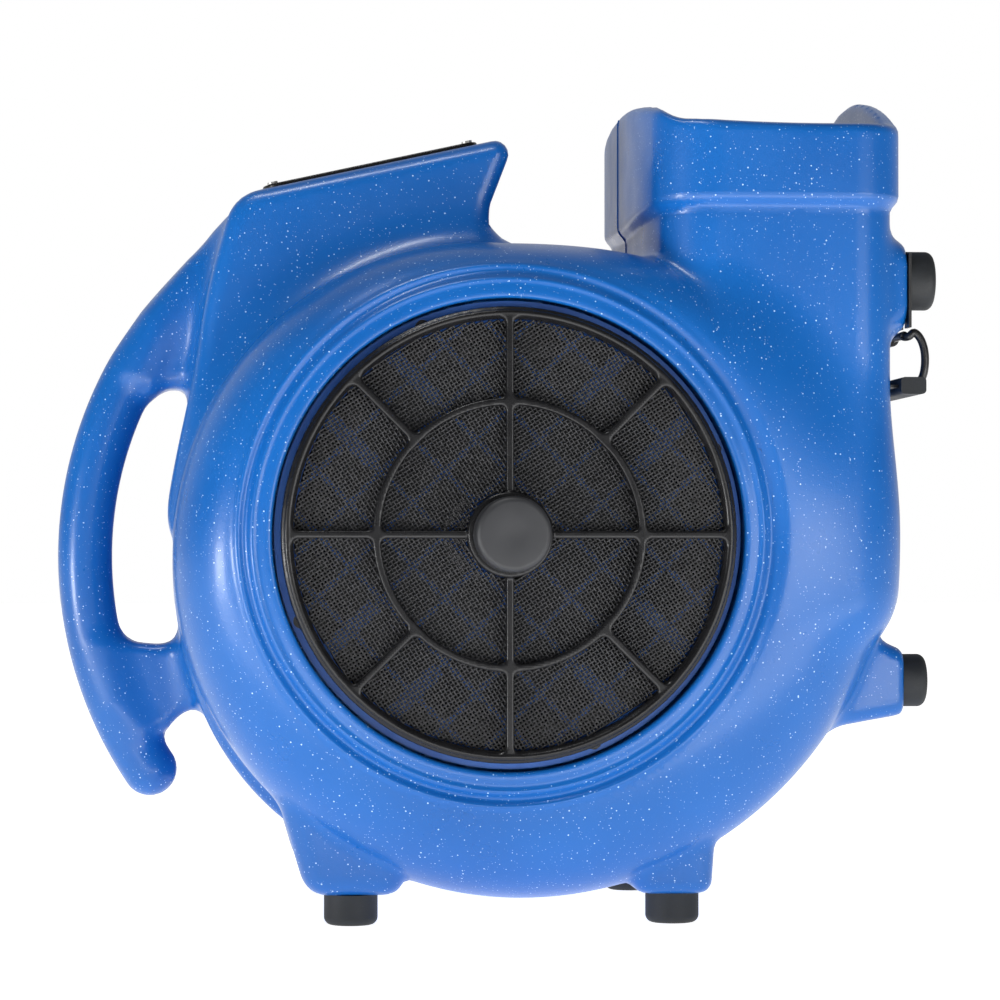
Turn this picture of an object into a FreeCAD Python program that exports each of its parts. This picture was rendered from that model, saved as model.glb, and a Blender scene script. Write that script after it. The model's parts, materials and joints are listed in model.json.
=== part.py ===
"""Centrifugal air mover, standing on its rear feet with its outlet facing up.

Lengths are millimetres. Shapes are drawn about the fan axis, which runs along Y through X = 0, Z = 0,
and export() moves them so that the origin lies on the floor under the middle of the bounding box.
"""
import FreeCAD, Part
import math
import os

os.makedirs("parts", exist_ok=True)
V = FreeCAD.Vector

# ---- overall frame ----
AXIS_X = 2.75                 # fan axis from the middle of the bounding box
AXIS_Z = 221.1                # fan axis above the floor
SIDES = (-1, 1)               # -1 is the front side (towards -Y), +1 the rear side

# ---- scroll housing ----
WALL = 5.0
SPIRAL_BASE = 147.0           # scroll radius extrapolated to 0 degrees
SPIRAL_GAIN = 19.7            # growth of the radius over a quarter turn
DRUM_Y = 163.0                # half width of the scroll
DRUM_EDGE = 48.0              # rounding of the scroll's shoulders
BELT_Y = 78.0                 # half width of the raised middle belt
BELT_BUMP = 7.0
BELT_AT = 228.0               # angle of the belt's highest point, degrees
BELT_SPREAD = 30.0

# ---- inlets, one on each side; depths are distances from the mid-plane ----
INLET_R = 131.7
FLOOR_HOLE_R = 113.0
FLOOR_OUT = 146.0
FLOOR_IN = FLOOR_OUT - WALL
LIP_OUT = 166.0
LIP_R = 141.0
GROOVE_R = 146.0
GROOVE_W = 3.0

# ---- outlet duct ----
DUCT_Y = 142.0
DUCT_RIGHT = 222.5
DUCT_LEFT = 92.0              # left wall at its corners
DUCT_LEFT_MID = 86.0          # left wall at the mid-plane, where it arches out
DUCT_CORNER = 24.5
COLLAR_Z = 188.0
COLLAR_OUT = 4.6
RIM_TOP = 266.0
GRILLE_SCREW_X = 166.0
GRILLE_SCREW_Z = 181.6
GRILLE_SCREW_HOLE_R = 3.3

# ---- control box and its sloped panel ----
BOX_Y = 75.0
BOX_EDGE = 8.0
BOX_NOSE = (12.5, 233.4)      # (x, z) of the three corners that are rounded
BOX_WAIST = (-5.5, 188.0)
BOX_BROW = (-154.7, 188.2)
BOX_OUTLINE = ((-174, 85), (-168, 142), BOX_BROW, (-140, 200), BOX_NOSE, BOX_WAIST,
               (11, 171), (20, 150), (-60, 110), (-120, 70))
POCKET_OUTLINE = ((-165, 110), (-149.5, 185.6), (-137, 195.2), (-8, 223.5), (-12, 186), (0, 168),
                  (0, 140), (-120, 80))
PANEL_X = -72.1
PANEL_Z = 214.9
PANEL_SLOPE = 12.38
PANEL_L = 128.0
PANEL_W = 124.0
PANEL_T = 2.5
PANEL_SCREW_R = 1.65
PANEL_HOLE_L = 104.0
PANEL_HOLE_W = 104.0
KNOB_U = -26.0
KNOB_V = 26.0
CUP_R = 23.5
CUP_BORE_R = 21.0
CUP_DEPTH = 14.0
DIAL_R = 17.0

SOCKET_U = 27.0               # middle and half size of the socket opening
SOCKET_V = -26.0
SOCKET_HALF_U = 23.0
SOCKET_HALF_V = 18.0
BREAKER_U = 27.0
BREAKER_V = 26.0
BREAKER_R = 8.5
BUTTON_R = 4.9
SPINDLE_R = 3.0
CAPACITOR_X = -128.0
CAPACITOR_Z = 160.0
CAPACITOR_R = 14.0
GLAND_X = -132.0              # cord gland in the box's rear wall
GLAND_Z = 178.0
GLAND_R = 7.9

# ---- handle ----
HANDLE_X = -12.6              # centre of the handle's bend
HANDLE_Z = -11.5
HANDLE_BEND = 226.7
HANDLE_R = 16.2
HANDLE_TIP = 14.0             # rounding of the free end
HANDLE_START = 122.0          # angles of the tube's two ends, degrees
HANDLE_END = 218.0
WEB_Y = 15.0                  # half width of the two webs
ROOT_WEB = ((-214, 93), (-199, 84), (-186, 91), (-172, 95), (-160, 150), (-150, 186), (-176, 163), (-200, 130))
BRIDGE_WEB = ((-232, -60), (-207, -63), (-178, -66), (-182, -95), (-196, -113), (-206, -118), (-224, -100))

# ---- feet ----
FOOT_R = 15.3
FOOT_H = 17.4
FOOT_EDGE = 4.5
BOTTOM_FEET_X = (-85.6, 98.3)
BOTTOM_FEET_Y = 105.0
FLOOR_Z = -AXIS_Z
SIDE_END_X = 249.7
UPPER_FOOT_Z = 146.9
UPPER_FOOT_Y = 105.0
UPPER_FOOT_R = 16.9
UPPER_PAD_X = 233.1
LOWER_FOOT_Z = -84.0
LOWER_FOOT_Y = 80.0
LOWER_PAD_X = 235.0
SCREW_SHANK_R = 2.4
SCREW_HEAD_R = 5.0

# ---- carpet clamp ----
CLAMP_T = 1.6
HINGE_X = 234.1
HINGE_Z = 115.8
BAIL_R = 2.4
BAIL_Y = 103.0
KNUCKLE_R = 4.4
PLATE_Y = 122.0               # half width of the clamp's plate
JAW_Z = 85.8                  # underside of the toothed strip
JAW_Y = 98.0
GRIP_Y = 107.0                # half width of the rubber grip
BAIL_BOW = ((239.7, 117.6), (243.2, 115.0), (245.6, 108.0), (246.2, 101.0), (245.4, 94.0), (241.5, 86.8))
PLATE_TOP = 162.0

# ---- fan and motor ----
WHEEL_R = 112.0
WHEEL_IN_R = 92.0
WHEEL_Y = 110.0
BLADES = 40
BLADE_T = 1.8
SHAFT_R = 6.35
MOTOR_R = 62.0
MOTOR_FRONT = 18.0            # outside faces of the end bells
MOTOR_REAR = 126.0
SHELL_FRONT = 30.0            # ends of the rolled shell
SHELL_REAR = 112.0
SHELL_T = 3.0
BEARING_R = 16.0
BEARING_T = 9.0
BEARING_FRONT = 25.0
BEARING_REAR = 110.0
STATOR_FRONT = 48.0
STATOR_REAR = 96.0
STATOR_SLOTS = 24
SLOT_AT = 35.0                # radius of the stator slots' middle
BUSH_R = 46.0                 # circle of the rubber bushes and their bolts
BUSH_ANGLES = (22.5, 112.5, 202.5, 292.5)
ARM_T = 3.0
MOTOR_BOLT_R = 2.95
BRACKET_SCREW_AT = 113.0
BRACKET_SCREW_R = 2.5
HEAD_T = 1.8

# ---- stack of parts in each inlet, as distances from the mid-plane ----
BELL_T = 2.5
BELL_OUT = FLOOR_OUT + BELL_T
THROAT_R = 97.0
BELL_R = 130.5
ARM_Y = BELL_OUT              # the motor bracket lies on the rear bell-mouth
GUARD_OUT = 156.5
GUARD_T = 4.0
GUARD_RING_IN = 119.5
GUARD_SCREW_AT = 125.0
GUARD_SCREW_R = 2.1
FIT = 0.05                    # radial clearance round screws and spindles
FILTER_IN = 157.0
FILTER_OUT = 170.0
FILTER_R = 127.0
KNOB_R = 21.15
KNOB_OUT = 196.0
KNOB_IN = 174.0
STUD_R = 4.0


# ---------------------------------------------------------------- helpers

def export(name, *solids):
    """Writes one node, moved from the fan-axis frame to the part's frame."""
    shape = solids[0] if len(solids) == 1 else Part.makeCompound(list(solids))
    shape = shape.copy()
    shape.translate(V(AXIS_X, 0, AXIS_Z))
    shape.exportStep("parts/" + name + ".step")


def polygon(points):
    """A closed face from corner points."""
    return Part.Face(Part.makePolygon(list(points) + [points[0]]))


def prism_xz(points, half_y):
    """A prism along Y, centred on the mid-plane, from (x, z) corners."""
    face = polygon([V(x, -half_y, z) for x, z in points])
    return face.extrude(V(0, 2 * half_y, 0))


def disc(radius, y0, y1, x=0.0, z=0.0):
    """A cylinder along Y between two depths."""
    low = min(y0, y1)
    return Part.makeCylinder(radius, abs(y1 - y0), V(x, low, z), V(0, 1, 0))


def ring(outer, inner, y0, y1, x=0.0, z=0.0):
    """A flat ring along Y."""
    low, high = min(y0, y1), max(y0, y1)
    return disc(outer, low, high, x, z).cut(disc(inner, low - 1, high + 1, x, z))


def turned(profile):
    """A body turned about the fan axis from (radius, y) corners."""
    return polygon([V(r, y, 0) for r, y in profile]).revolve(V(0, 0, 0), V(0, 1, 0), 360)


def box(x0, x1, y0, y1, z0, z1):
    return Part.makeBox(x1 - x0, y1 - y0, z1 - z0, V(x0, y0, z0))


def rounded(shape, radius, wanted):
    """Rounds the edges that a test picks out."""
    return shape.makeFillet(radius, [e for e in shape.Edges if wanted(e)])


def fuse(shapes):
    first, rest = shapes[0], shapes[1:]
    return first.multiFuse(list(rest)).removeSplitter()


def mirrored(shape):
    """The same piece on the other side of the mid-plane."""
    return shape.mirror(V(0, 0, 0), V(0, 1, 0))


def on_side(shape, side):
    """Shapes for the inlets are drawn on the rear side and mirrored to the front."""
    return shape if side > 0 else mirrored(shape)


def rod(points, radius):
    """A round wire through points, with a ball at each bend."""
    pieces = [Part.makeSphere(radius, p) for p in points]
    for a, b in zip(points, points[1:]):
        pieces.append(Part.makeCylinder(radius, (b - a).Length, a, b - a))
    return fuse(pieces)


def rounded_rectangle(centre, half_a, half_b, radius, axis_a, axis_b):
    """A closed wire in the plane of two axes."""
    corners = []
    for sa, sb in ((1, 1), (-1, 1), (-1, -1), (1, -1)):
        corners.append((sa, sb))
    edges = []
    last = None
    first = None
    for i, (sa, sb) in enumerate(corners):
        hub = centre + axis_a * (sa * (half_a - radius)) + axis_b * (sb * (half_b - radius))
        out_a = hub + axis_a * (sa * radius)
        out_b = hub + axis_b * (sb * radius)
        middle = hub + (axis_a * sa + axis_b * sb) * (radius * math.sqrt(0.5))
        start, end = (out_a, out_b) if i % 2 == 0 else (out_b, out_a)
        if last is not None:
            edges.append(Part.makeLine(last, start))
        else:
            first = start
        edges.append(Part.Arc(start, middle, end).toShape())
        last = end
    edges.append(Part.makeLine(last, first))
    return Part.Wire(edges)


def taper(centre_a, half_a, centre_b, half_b, radius, axis_a, axis_b):
    """A block between two rounded rectangles; halves are (a, b) half sizes at each end."""
    start = rounded_rectangle(centre_a, half_a[0], half_a[1], radius, axis_a, axis_b)
    end = rounded_rectangle(centre_b, half_b[0], half_b[1], radius, axis_a, axis_b)
    return Part.makeLoft([start, end], True, True)


# ---------------------------------------------------------------- housing

def spiral_radius(degrees):
    """Scroll radius: it grows steadily from 90 to 360 degrees and closes again in the first quarter."""
    end = SPIRAL_BASE + 4 * SPIRAL_GAIN
    if degrees >= 90:
        return SPIRAL_BASE + SPIRAL_GAIN * degrees / 90
    t = degrees / 90
    return end + (SPIRAL_BASE + SPIRAL_GAIN - end) * t * t * (3 - 2 * t)


def belt_radius(degrees):
    swell = BELT_BUMP * math.exp(-((degrees - BELT_AT) / BELT_SPREAD) ** 2)
    return spiral_radius(degrees) + swell


def scroll(radius_at, offset, half_y, edge):
    """A closed spiral drum along Y with rounded shoulders."""
    points = []
    for step in range(24):
        a = 15.0 * step
        r = radius_at(a) + offset
        points.append(V(r * math.cos(math.radians(a)), -half_y, r * math.sin(math.radians(a))))
    curve = Part.BSplineCurve()
    curve.interpolate(Points=points, PeriodicFlag=True)
    drum = Part.Face(Part.Wire([curve.toShape()])).extrude(V(0, 2 * half_y, 0))
    return rounded(drum, edge, lambda e: abs(abs(e.CenterOfMass.y) - half_y) < 0.01)


def duct_wire(offset, z):
    """The outlet's outline at a height: flat right wall, round corners, arched left wall."""
    r = DUCT_CORNER + offset
    yc = DUCT_Y - DUCT_CORNER
    xl = DUCT_LEFT + DUCT_CORNER
    xr = DUCT_RIGHT - DUCT_CORNER
    d = r * math.sqrt(0.5)
    edges = [
        Part.Arc(V(xl - r, yc, z), V(DUCT_LEFT_MID - offset, 0, z), V(xl - r, -yc, z)).toShape(),
        Part.Arc(V(xl - r, -yc, z), V(xl - d, -yc - d, z), V(xl, -yc - r, z)).toShape(),
        Part.makeLine(V(xl, -yc - r, z), V(xr, -yc - r, z)),
        Part.Arc(V(xr, -yc - r, z), V(xr + d, -yc - d, z), V(xr + r, -yc, z)).toShape(),
        Part.makeLine(V(xr + r, -yc, z), V(xr + r, yc, z)),
        Part.Arc(V(xr + r, yc, z), V(xr + d, yc + d, z), V(xr, yc + r, z)).toShape(),
        Part.makeLine(V(xr, yc + r, z), V(xl, yc + r, z)),
        Part.Arc(V(xl, yc + r, z), V(xl - d, yc + d, z), V(xl - r, yc, z)).toShape(),
    ]
    return Part.Wire(edges)


def duct_prism(offset, z0, z1):
    return Part.Face(duct_wire(offset, z0)).extrude(V(0, 0, z1 - z0))


def rim_keep():
    """Everything under the outlet's wavy rim: dished front and rear walls, humped side walls."""
    dish = Part.Arc(V(60, -160, 247), V(165, -160, 233.7), V(245, -160, 242)).toShape()
    down = [Part.makeLine(V(245, -160, 242), V(245, -160, -20)),
            Part.makeLine(V(245, -160, -20), V(60, -160, -20)),
            Part.makeLine(V(60, -160, -20), V(60, -160, 247))]
    low = Part.Face(Part.Wire([dish] + down)).extrude(V(0, 320, 0))
    hump = Part.Arc(V(60, -135, 214), V(60, 0, 249.5), V(60, 135, 214)).toShape()
    base = [Part.makeLine(V(60, 135, 214), V(60, 135, -20)),
            Part.makeLine(V(60, 135, -20), V(60, -135, -20)),
            Part.makeLine(V(60, -135, -20), V(60, -135, 214))]
    high = Part.Face(Part.Wire([hump] + base)).extrude(V(185, 0, 12.5))
    return low.fuse(high)


def outlet_collar():
    """The thick band round the outlet's mouth, with a half step below it."""
    half_step = duct_prism(COLLAR_OUT / 2, COLLAR_Z - 2, COLLAR_Z + 5)
    return duct_prism(COLLAR_OUT, COLLAR_Z, RIM_TOP).common(rim_keep()).fuse(half_step)


def control_box():
    """The wedge above the scroll that carries the panel, with its overhanging nose."""
    block = prism_xz(BOX_OUTLINE, BOX_Y)

    def along_y(corner):
        x, z = corner
        return lambda e: (abs(e.CenterOfMass.x - x) < 0.1 and abs(e.CenterOfMass.z - z) < 0.1
                          and abs(e.CenterOfMass.y) < 0.1)
    block = rounded(block, 10.0, along_y(BOX_NOSE))
    block = rounded(block, 18.0, along_y(BOX_WAIST))
    block = rounded(block, 12.0, along_y(BOX_BROW))

    def rim(e):
        return abs(abs(e.CenterOfMass.y) - BOX_Y) < 0.01 and e.BoundBox.ZMax > 171
    return rounded(block, BOX_EDGE, rim)


def control_box_cavity():
    """The pocket for the controls, closed below by the scroll's own wall."""
    pocket = prism_xz(POCKET_OUTLINE, BOX_Y - WALL)
    return pocket.cut(scroll(spiral_radius, 0, DRUM_Y, DRUM_EDGE))


def handle_point(degrees, extra=0.0):
    a = math.radians(degrees)
    r = HANDLE_BEND + extra
    return V(HANDLE_X + r * math.cos(a), 0, HANDLE_Z + r * math.sin(a))


def handle_tube(radius, start, end):
    """Part of a ring, bent about an axis along Y."""
    centre = handle_point(start)
    a = math.radians(start)
    along = V(-math.sin(a), 0, math.cos(a))
    circle = Part.Face(Part.Wire([Part.makeCircle(radius, centre, along)]))
    return circle.revolve(V(HANDLE_X, 0, HANDLE_Z), V(0, -1, 0), end - start)


def handle():
    """The grip with its round free end, and the two webs that tie it to the body."""
    tube = handle_tube(HANDLE_R, HANDLE_START, HANDLE_END)
    tip = handle_point(HANDLE_END)
    tube = rounded(tube, HANDLE_TIP, lambda e: e.Curve.TypeId == "Part::GeomCircle"
                   and (e.CenterOfMass - tip).Length < 0.01)
    return [tube, prism_xz(ROOT_WEB, WEB_Y), prism_xz(BRIDGE_WEB, WEB_Y)]


def pedestals():
    """The stubs that the rubber feet stand on, and the bosses for the side feet."""
    x_axis, y_axis, z_axis = V(1, 0, 0), V(0, 1, 0), V(0, 0, 1)
    foot_top = FLOOR_Z + FOOT_H
    made = []
    for side in SIDES:
        y = side * BOTTOM_FEET_Y
        made.append(taper(V(-88, y, -150), (36, 30), V(-83.5, y, foot_top), (25.5, 22), 10, x_axis, y_axis))
        made.append(taper(V(92, y, -150), (30, 30), V(98.3, y, foot_top), (19, 22), 10, x_axis, y_axis))
        y = side * UPPER_FOOT_Y
        made.append(taper(V(212, y, 140.3), (25, 40), V(UPPER_PAD_X, y, 143.5), (17.5, 24), 12,
                          y_axis, z_axis))
        y = side * LOWER_FOOT_Y
        made.append(taper(V(160, y, -76), (30, 40), V(LOWER_PAD_X, y, -84.8), (18, 18.8), 9,
                          y_axis, z_axis))
    return made


def inlet_cup(side):
    """The recess that holds the guard and filter, with a raised lip round its mouth."""
    cup = ring(INLET_R + WALL, INLET_R, FLOOR_IN, DRUM_Y)
    floor = ring(INLET_R + WALL, FLOOR_HOLE_R, FLOOR_IN, FLOOR_OUT)
    lip = ring(LIP_R, INLET_R, DRUM_Y - 4, LIP_OUT)
    lip = rounded(lip, 2.2, lambda e: abs(e.CenterOfMass.y - LIP_OUT) < 0.01)
    return [on_side(s, side) for s in (cup, floor, lip)]


def housing():
    """The one-piece moulded body: scroll, outlet, control box, handle and pedestals."""
    outside = [scroll(spiral_radius, 0, DRUM_Y, DRUM_EDGE),
               scroll(belt_radius, 0, BELT_Y, 10.0),
               duct_prism(0, 0, 215).common(rim_keep()),
               outlet_collar(),
               control_box()]
    body = outside[0]
    for piece in outside[1:] + handle() + pedestals():
        body = body.fuse(piece)
    cavity = scroll(spiral_radius, -WALL, DRUM_Y - WALL, DRUM_EDGE - WALL)
    cavity = cavity.fuse(duct_prism(-WALL, 0, RIM_TOP + 10))
    body = body.cut(cavity)
    for side in SIDES:
        body = body.cut(on_side(disc(INLET_R, FLOOR_IN, DRUM_Y + 5), side))
        for piece in inlet_cup(side):
            body = body.fuse(piece)
        groove = ring(GROOVE_R + GROOVE_W / 2, GROOVE_R - GROOVE_W / 2, DRUM_Y - 1.2, DRUM_Y + 2)
        body = body.cut(on_side(groove, side))
    body = body.cut(control_box_cavity())
    body = body.cut(handle_tube(HANDLE_R - WALL, HANDLE_START - 4, HANDLE_END - 4))
    body = body.cut(on_panel(Part.makeBox(PANEL_HOLE_L, PANEL_HOLE_W, 20,
                                          V(-PANEL_HOLE_L / 2, -PANEL_HOLE_W / 2, -12))))
    for hole in screw_holes():
        body = body.cut(hole)
    return body


def screw_holes():
    """Holes for the foot, grille, guard and panel screws, and for the cord gland."""
    holes = [disc(GRILLE_SCREW_HOLE_R, -DUCT_Y - 5, DUCT_Y + 5, GRILLE_SCREW_X, GRILLE_SCREW_Z),
             disc(GLAND_R + FIT, BOX_Y - 20, BOX_Y + 5, GLAND_X, GLAND_Z)]
    for side in SIDES:
        for a in guard_screw_angles():
            x, z = polar(GUARD_SCREW_AT, a)
            holes.append(on_side(disc(GUARD_SCREW_R + FIT, FLOOR_IN - 1, FLOOR_OUT + 1, x, z), side))
    for u, v in panel_screw_spots():
        holes.append(on_panel(flat_disc(PANEL_SCREW_R + FIT, u, v, -8, 2)))
    for place, away in foot_places():
        holes.append(Part.makeCylinder(SCREW_SHANK_R, 30, place - away * 30, away))
    return holes


# ---------------------------------------------------------------- feet

def foot_places():
    """Where each rubber foot meets the housing, and the way it points."""
    foot_top = FLOOR_Z + FOOT_H
    places = []
    for x in BOTTOM_FEET_X:
        for side in SIDES:
            places.append((V(x, side * BOTTOM_FEET_Y, foot_top), V(0, 0, -1)))
    for side in SIDES:
        places.append((V(UPPER_PAD_X, side * UPPER_FOOT_Y, UPPER_FOOT_Z), V(1, 0, 0)))
    for side in SIDES:
        places.append((V(LOWER_PAD_X, side * LOWER_FOOT_Y, LOWER_FOOT_Z), V(1, 0, 0)))
    return places


FOOT_NAMES = ("feet_bottom",) * 4 + ("feet_side_upper",) * 2 + ("feet_side_lower",) * 2


def foot_sizes(name):
    """Start above the housing, height and radius of one foot."""
    if "bottom" in name:
        return 0.0, FOOT_H, FOOT_R
    if "upper" in name:
        return CLAMP_T, SIDE_END_X - UPPER_PAD_X - CLAMP_T, UPPER_FOOT_R
    return 0.0, SIDE_END_X - LOWER_PAD_X, FOOT_R


def rubber_foot(place, away, start, height, radius):
    """A rubber bumper with a rounded end and a sunk hole for its screw."""
    base = place + away * start
    body = Part.makeCylinder(radius, height, base, away)
    tip = base + away * height
    body = rounded(body, FOOT_EDGE, lambda e: e.Curve.TypeId == "Part::GeomCircle"
                   and (e.CenterOfMass - tip).Length < 0.01)
    body = body.cut(Part.makeCylinder(SCREW_HEAD_R + 1.5, height - 6, base + away * 6, away))
    return body.cut(Part.makeCylinder(SCREW_SHANK_R, height, base, away))


def foot_fasteners():
    screws, washers = [], []
    for name, (place, away) in zip(FOOT_NAMES, foot_places()):
        start, height, radius = foot_sizes(name)
        seat = place + away * (start + 6)
        washer = Part.makeCylinder(SCREW_HEAD_R + 1, 1.0, seat, away)
        washers.append(washer.cut(Part.makeCylinder(SCREW_SHANK_R, 3, seat - away, away)))
        head = Part.makeCylinder(SCREW_HEAD_R, 3.0, seat + away, away)
        shank = Part.makeCylinder(SCREW_SHANK_R, 25, seat - away * 24, away)
        slot = Part.makeCylinder(1.6, 2, seat + away * 2.5, away)
        screws.append(head.fuse(shank).cut(slot))
    return screws, washers


# ---------------------------------------------------------------- inlet parts

def inlet_ring():
    """The bell-mouth that leads air into the wheel."""
    radius = 11.0
    steps = 6
    outer = [(BELL_R, FLOOR_OUT), (BELL_R, BELL_OUT), (THROAT_R + radius, BELL_OUT)]
    for i in range(1, steps + 1):
        a = math.radians(90 * i / steps)
        outer.append((THROAT_R + radius - radius * math.sin(a), BELL_OUT - radius + radius * math.cos(a)))
    end = 124.0
    inner = [(THROAT_R, end), (THROAT_R + BELL_T, end)]
    for i in range(steps, -1, -1):
        a = math.radians(90 * i / steps)
        r = radius - BELL_T
        inner.append((THROAT_R + radius - r * math.sin(a), BELL_OUT - radius + r * math.cos(a)))
    bell = turned(outer + inner)
    for a in guard_screw_angles():
        x, z = polar(GUARD_SCREW_AT, a)
        bell = bell.cut(disc(GUARD_SCREW_R + FIT, FLOOR_OUT - 1, BELL_OUT + 1, x, z))
    return bell


def rear_inlet_ring():
    """The rear bell-mouth also takes the four screws of the motor bracket."""
    bell = inlet_ring()
    for a in BUSH_ANGLES:
        x, z = polar(BRACKET_SCREW_AT, a)
        bell = bell.cut(disc(BRACKET_SCREW_R + FIT, FLOOR_OUT - 1, BELL_OUT + 1, x, z))
    return bell


def guard_screw_angles():
    return [22.5 + 90 * i for i in range(4)]


def polar(radius, degrees):
    a = math.radians(degrees)
    return radius * math.cos(a), radius * math.sin(a)


def inlet_guard():
    """The safety guard behind the filter: rim, hub, a diamond lattice and eight broad bars."""
    y0 = GUARD_OUT - GUARD_T
    lattice = []
    for turn in (45, 135):
        for offset in (-100, -75, -50, -25, 0, 25, 50, 75, 100):
            wide = 1.5
            bar = box(-125, 125, y0 + 1, GUARD_OUT - 1, offset - wide, offset + wide)
            lattice.append(bar.rotate(V(0, 0, 0), V(0, 1, 0), turn))
        for offset in (-25, 25):
            for end in (-1, 1):
                bar = box(min(end * 80, end * 125), max(end * 80, end * 125), y0, GUARD_OUT,
                          offset - 4.5, offset + 4.5)
                lattice.append(bar.rotate(V(0, 0, 0), V(0, 1, 0), turn))
    web = fuse(lattice).common(disc(GUARD_RING_IN + 1, y0 - 5, GUARD_OUT + 5))
    rim = ring(BELL_R, GUARD_RING_IN, BELL_OUT, GUARD_OUT)
    hub = disc(24, BELL_OUT, GUARD_OUT)
    guard = fuse([rim, web, hub]).cut(disc(7, BELL_OUT - 1, GUARD_OUT + 1))
    for a in guard_screw_angles():
        x, z = polar(GUARD_SCREW_AT, a)
        guard = guard.cut(disc(GUARD_SCREW_R + FIT, BELL_OUT - 1, GUARD_OUT + 1, x, z))
        guard = guard.cut(disc(4.3, GUARD_OUT - 3, GUARD_OUT + 1, x, z))
    return guard


def guard_screws():
    screws = []
    for a in guard_screw_angles():
        x, z = polar(GUARD_SCREW_AT, a)
        shank = disc(GUARD_SCREW_R, FLOOR_IN, GUARD_OUT - 2, x, z)
        screw = disc(4.2, GUARD_OUT - 3, GUARD_OUT - 0.4, x, z).fuse(shank)
        screws.append(screw.cut(disc(1.4, GUARD_OUT - 2, GUARD_OUT, x, z)))
    return screws


def guard_insert():
    """The threaded brass insert that the filter knob screws into."""
    return ring(7, STUD_R + 0.05, BELL_OUT, GUARD_OUT)


def filter_frame():
    """Rim, inner ring, eight spokes and hub, with a thin raised step on the rim."""
    rib_in = FILTER_OUT - 7
    parts = [ring(FILTER_R, 120, FILTER_IN, FILTER_OUT - 1.2),
             ring(FILTER_R - 1.5, 123, FILTER_OUT - 2, FILTER_OUT),
             ring(76.8, 71.2, rib_in, FILTER_OUT),
             disc(24, FILTER_IN, FILTER_OUT + 2)]
    for i in range(8):
        inner = 20 if i % 2 == 0 else 74
        bar = box(inner, 121, rib_in, FILTER_OUT, -3, 3)
        parts.append(bar.rotate(V(0, 0, 0), V(0, 1, 0), 45 * i))
    return fuse(parts).cut(disc(STUD_R + 0.3, FILTER_IN - 1, FILTER_OUT + 5))


def filter_mesh():
    return ring(119.8, 24.2, FILTER_OUT - 9, FILTER_OUT - 7.05)


def filter_knob():
    body = disc(KNOB_R, KNOB_IN, KNOB_OUT)
    body = rounded(body, 2.5, lambda e: abs(e.CenterOfMass.y - KNOB_OUT) < 0.01
                   and e.Curve.TypeId == "Part::GeomCircle")
    neck = disc(10, FILTER_OUT + 2.1, KNOB_IN + 1)
    dimple = Part.makeSphere(9, V(0, KNOB_OUT + 8.2, 0))
    return fuse([body, neck]).cut(dimple).cut(disc(STUD_R, FILTER_OUT, KNOB_OUT - 8))


def filter_stud():
    return disc(STUD_R, BELL_OUT + 1, KNOB_OUT - 8)


# ---------------------------------------------------------------- fan

def blade():
    """One forward-curved blade, an arc in section, running the width of the wheel."""
    root = V(WHEEL_IN_R, 0, 0)
    tip_angle = math.radians(9.5)
    tip = V((WHEEL_R - 1) * math.cos(tip_angle), 0, (WHEEL_R - 1) * math.sin(tip_angle))
    middle = (root + tip) * 0.5 + V(3.6, 0, -3.0)
    shift = V(BLADE_T * 0.6, 0, -BLADE_T * 0.8)
    front = Part.Arc(root, middle, tip).toShape()
    back = Part.Arc(tip + shift, middle + shift, root + shift).toShape()
    wire = Part.Wire([front, Part.makeLine(tip, tip + shift), back, Part.makeLine(root + shift, root)])
    section = Part.Face(wire)
    section.translate(V(0, -WHEEL_Y, 0))
    return section.extrude(V(0, 2 * WHEEL_Y, 0))


def impeller():
    """The double-inlet wheel: two end rings, a centre plate and the blades between them."""
    one = blade()
    blades = [one.copy().rotate(V(0, 0, 0), V(0, 1, 0), 360.0 * i / BLADES) for i in range(BLADES)]
    rings = [ring(WHEEL_R, WHEEL_IN_R + 4, -WHEEL_Y, -WHEEL_Y + 5),
             ring(WHEEL_R, WHEEL_IN_R + 4, WHEEL_Y - 5, WHEEL_Y),
             ring(WHEEL_R, 26, -1.5, 1.5)]
    return fuse(rings + blades)


def impeller_hub():
    """The metal hub riveted to the wheel's centre plate, with its flange."""
    hub = fuse([disc(15, -14, 14), disc(25.9, -1.5, 1.5), ring(34, 14, 1.5, 4)])
    hub = hub.cut(disc(SHAFT_R, -20, 20))
    return hub.cut(Part.makeCylinder(2.5, 20, V(0, 9, 0), V(0, 0, 1)))


def hub_set_screw():
    return Part.makeCylinder(2.45, 8, V(0, 9, SHAFT_R), V(0, 0, 1))


# ---------------------------------------------------------------- motor

def motor_shell():
    """The rolled shell with cooling slots."""
    shell = ring(MOTOR_R, MOTOR_R - SHELL_T, SHELL_FRONT, SHELL_REAR)
    for i in range(12):
        slot = box(MOTOR_R - 8, MOTOR_R + 5, SHELL_REAR - 24, SHELL_REAR - 8, -3, 3)
        shell = shell.cut(slot.rotate(V(0, 0, 0), V(0, 1, 0), 30 * i + 15))
    return shell


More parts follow.
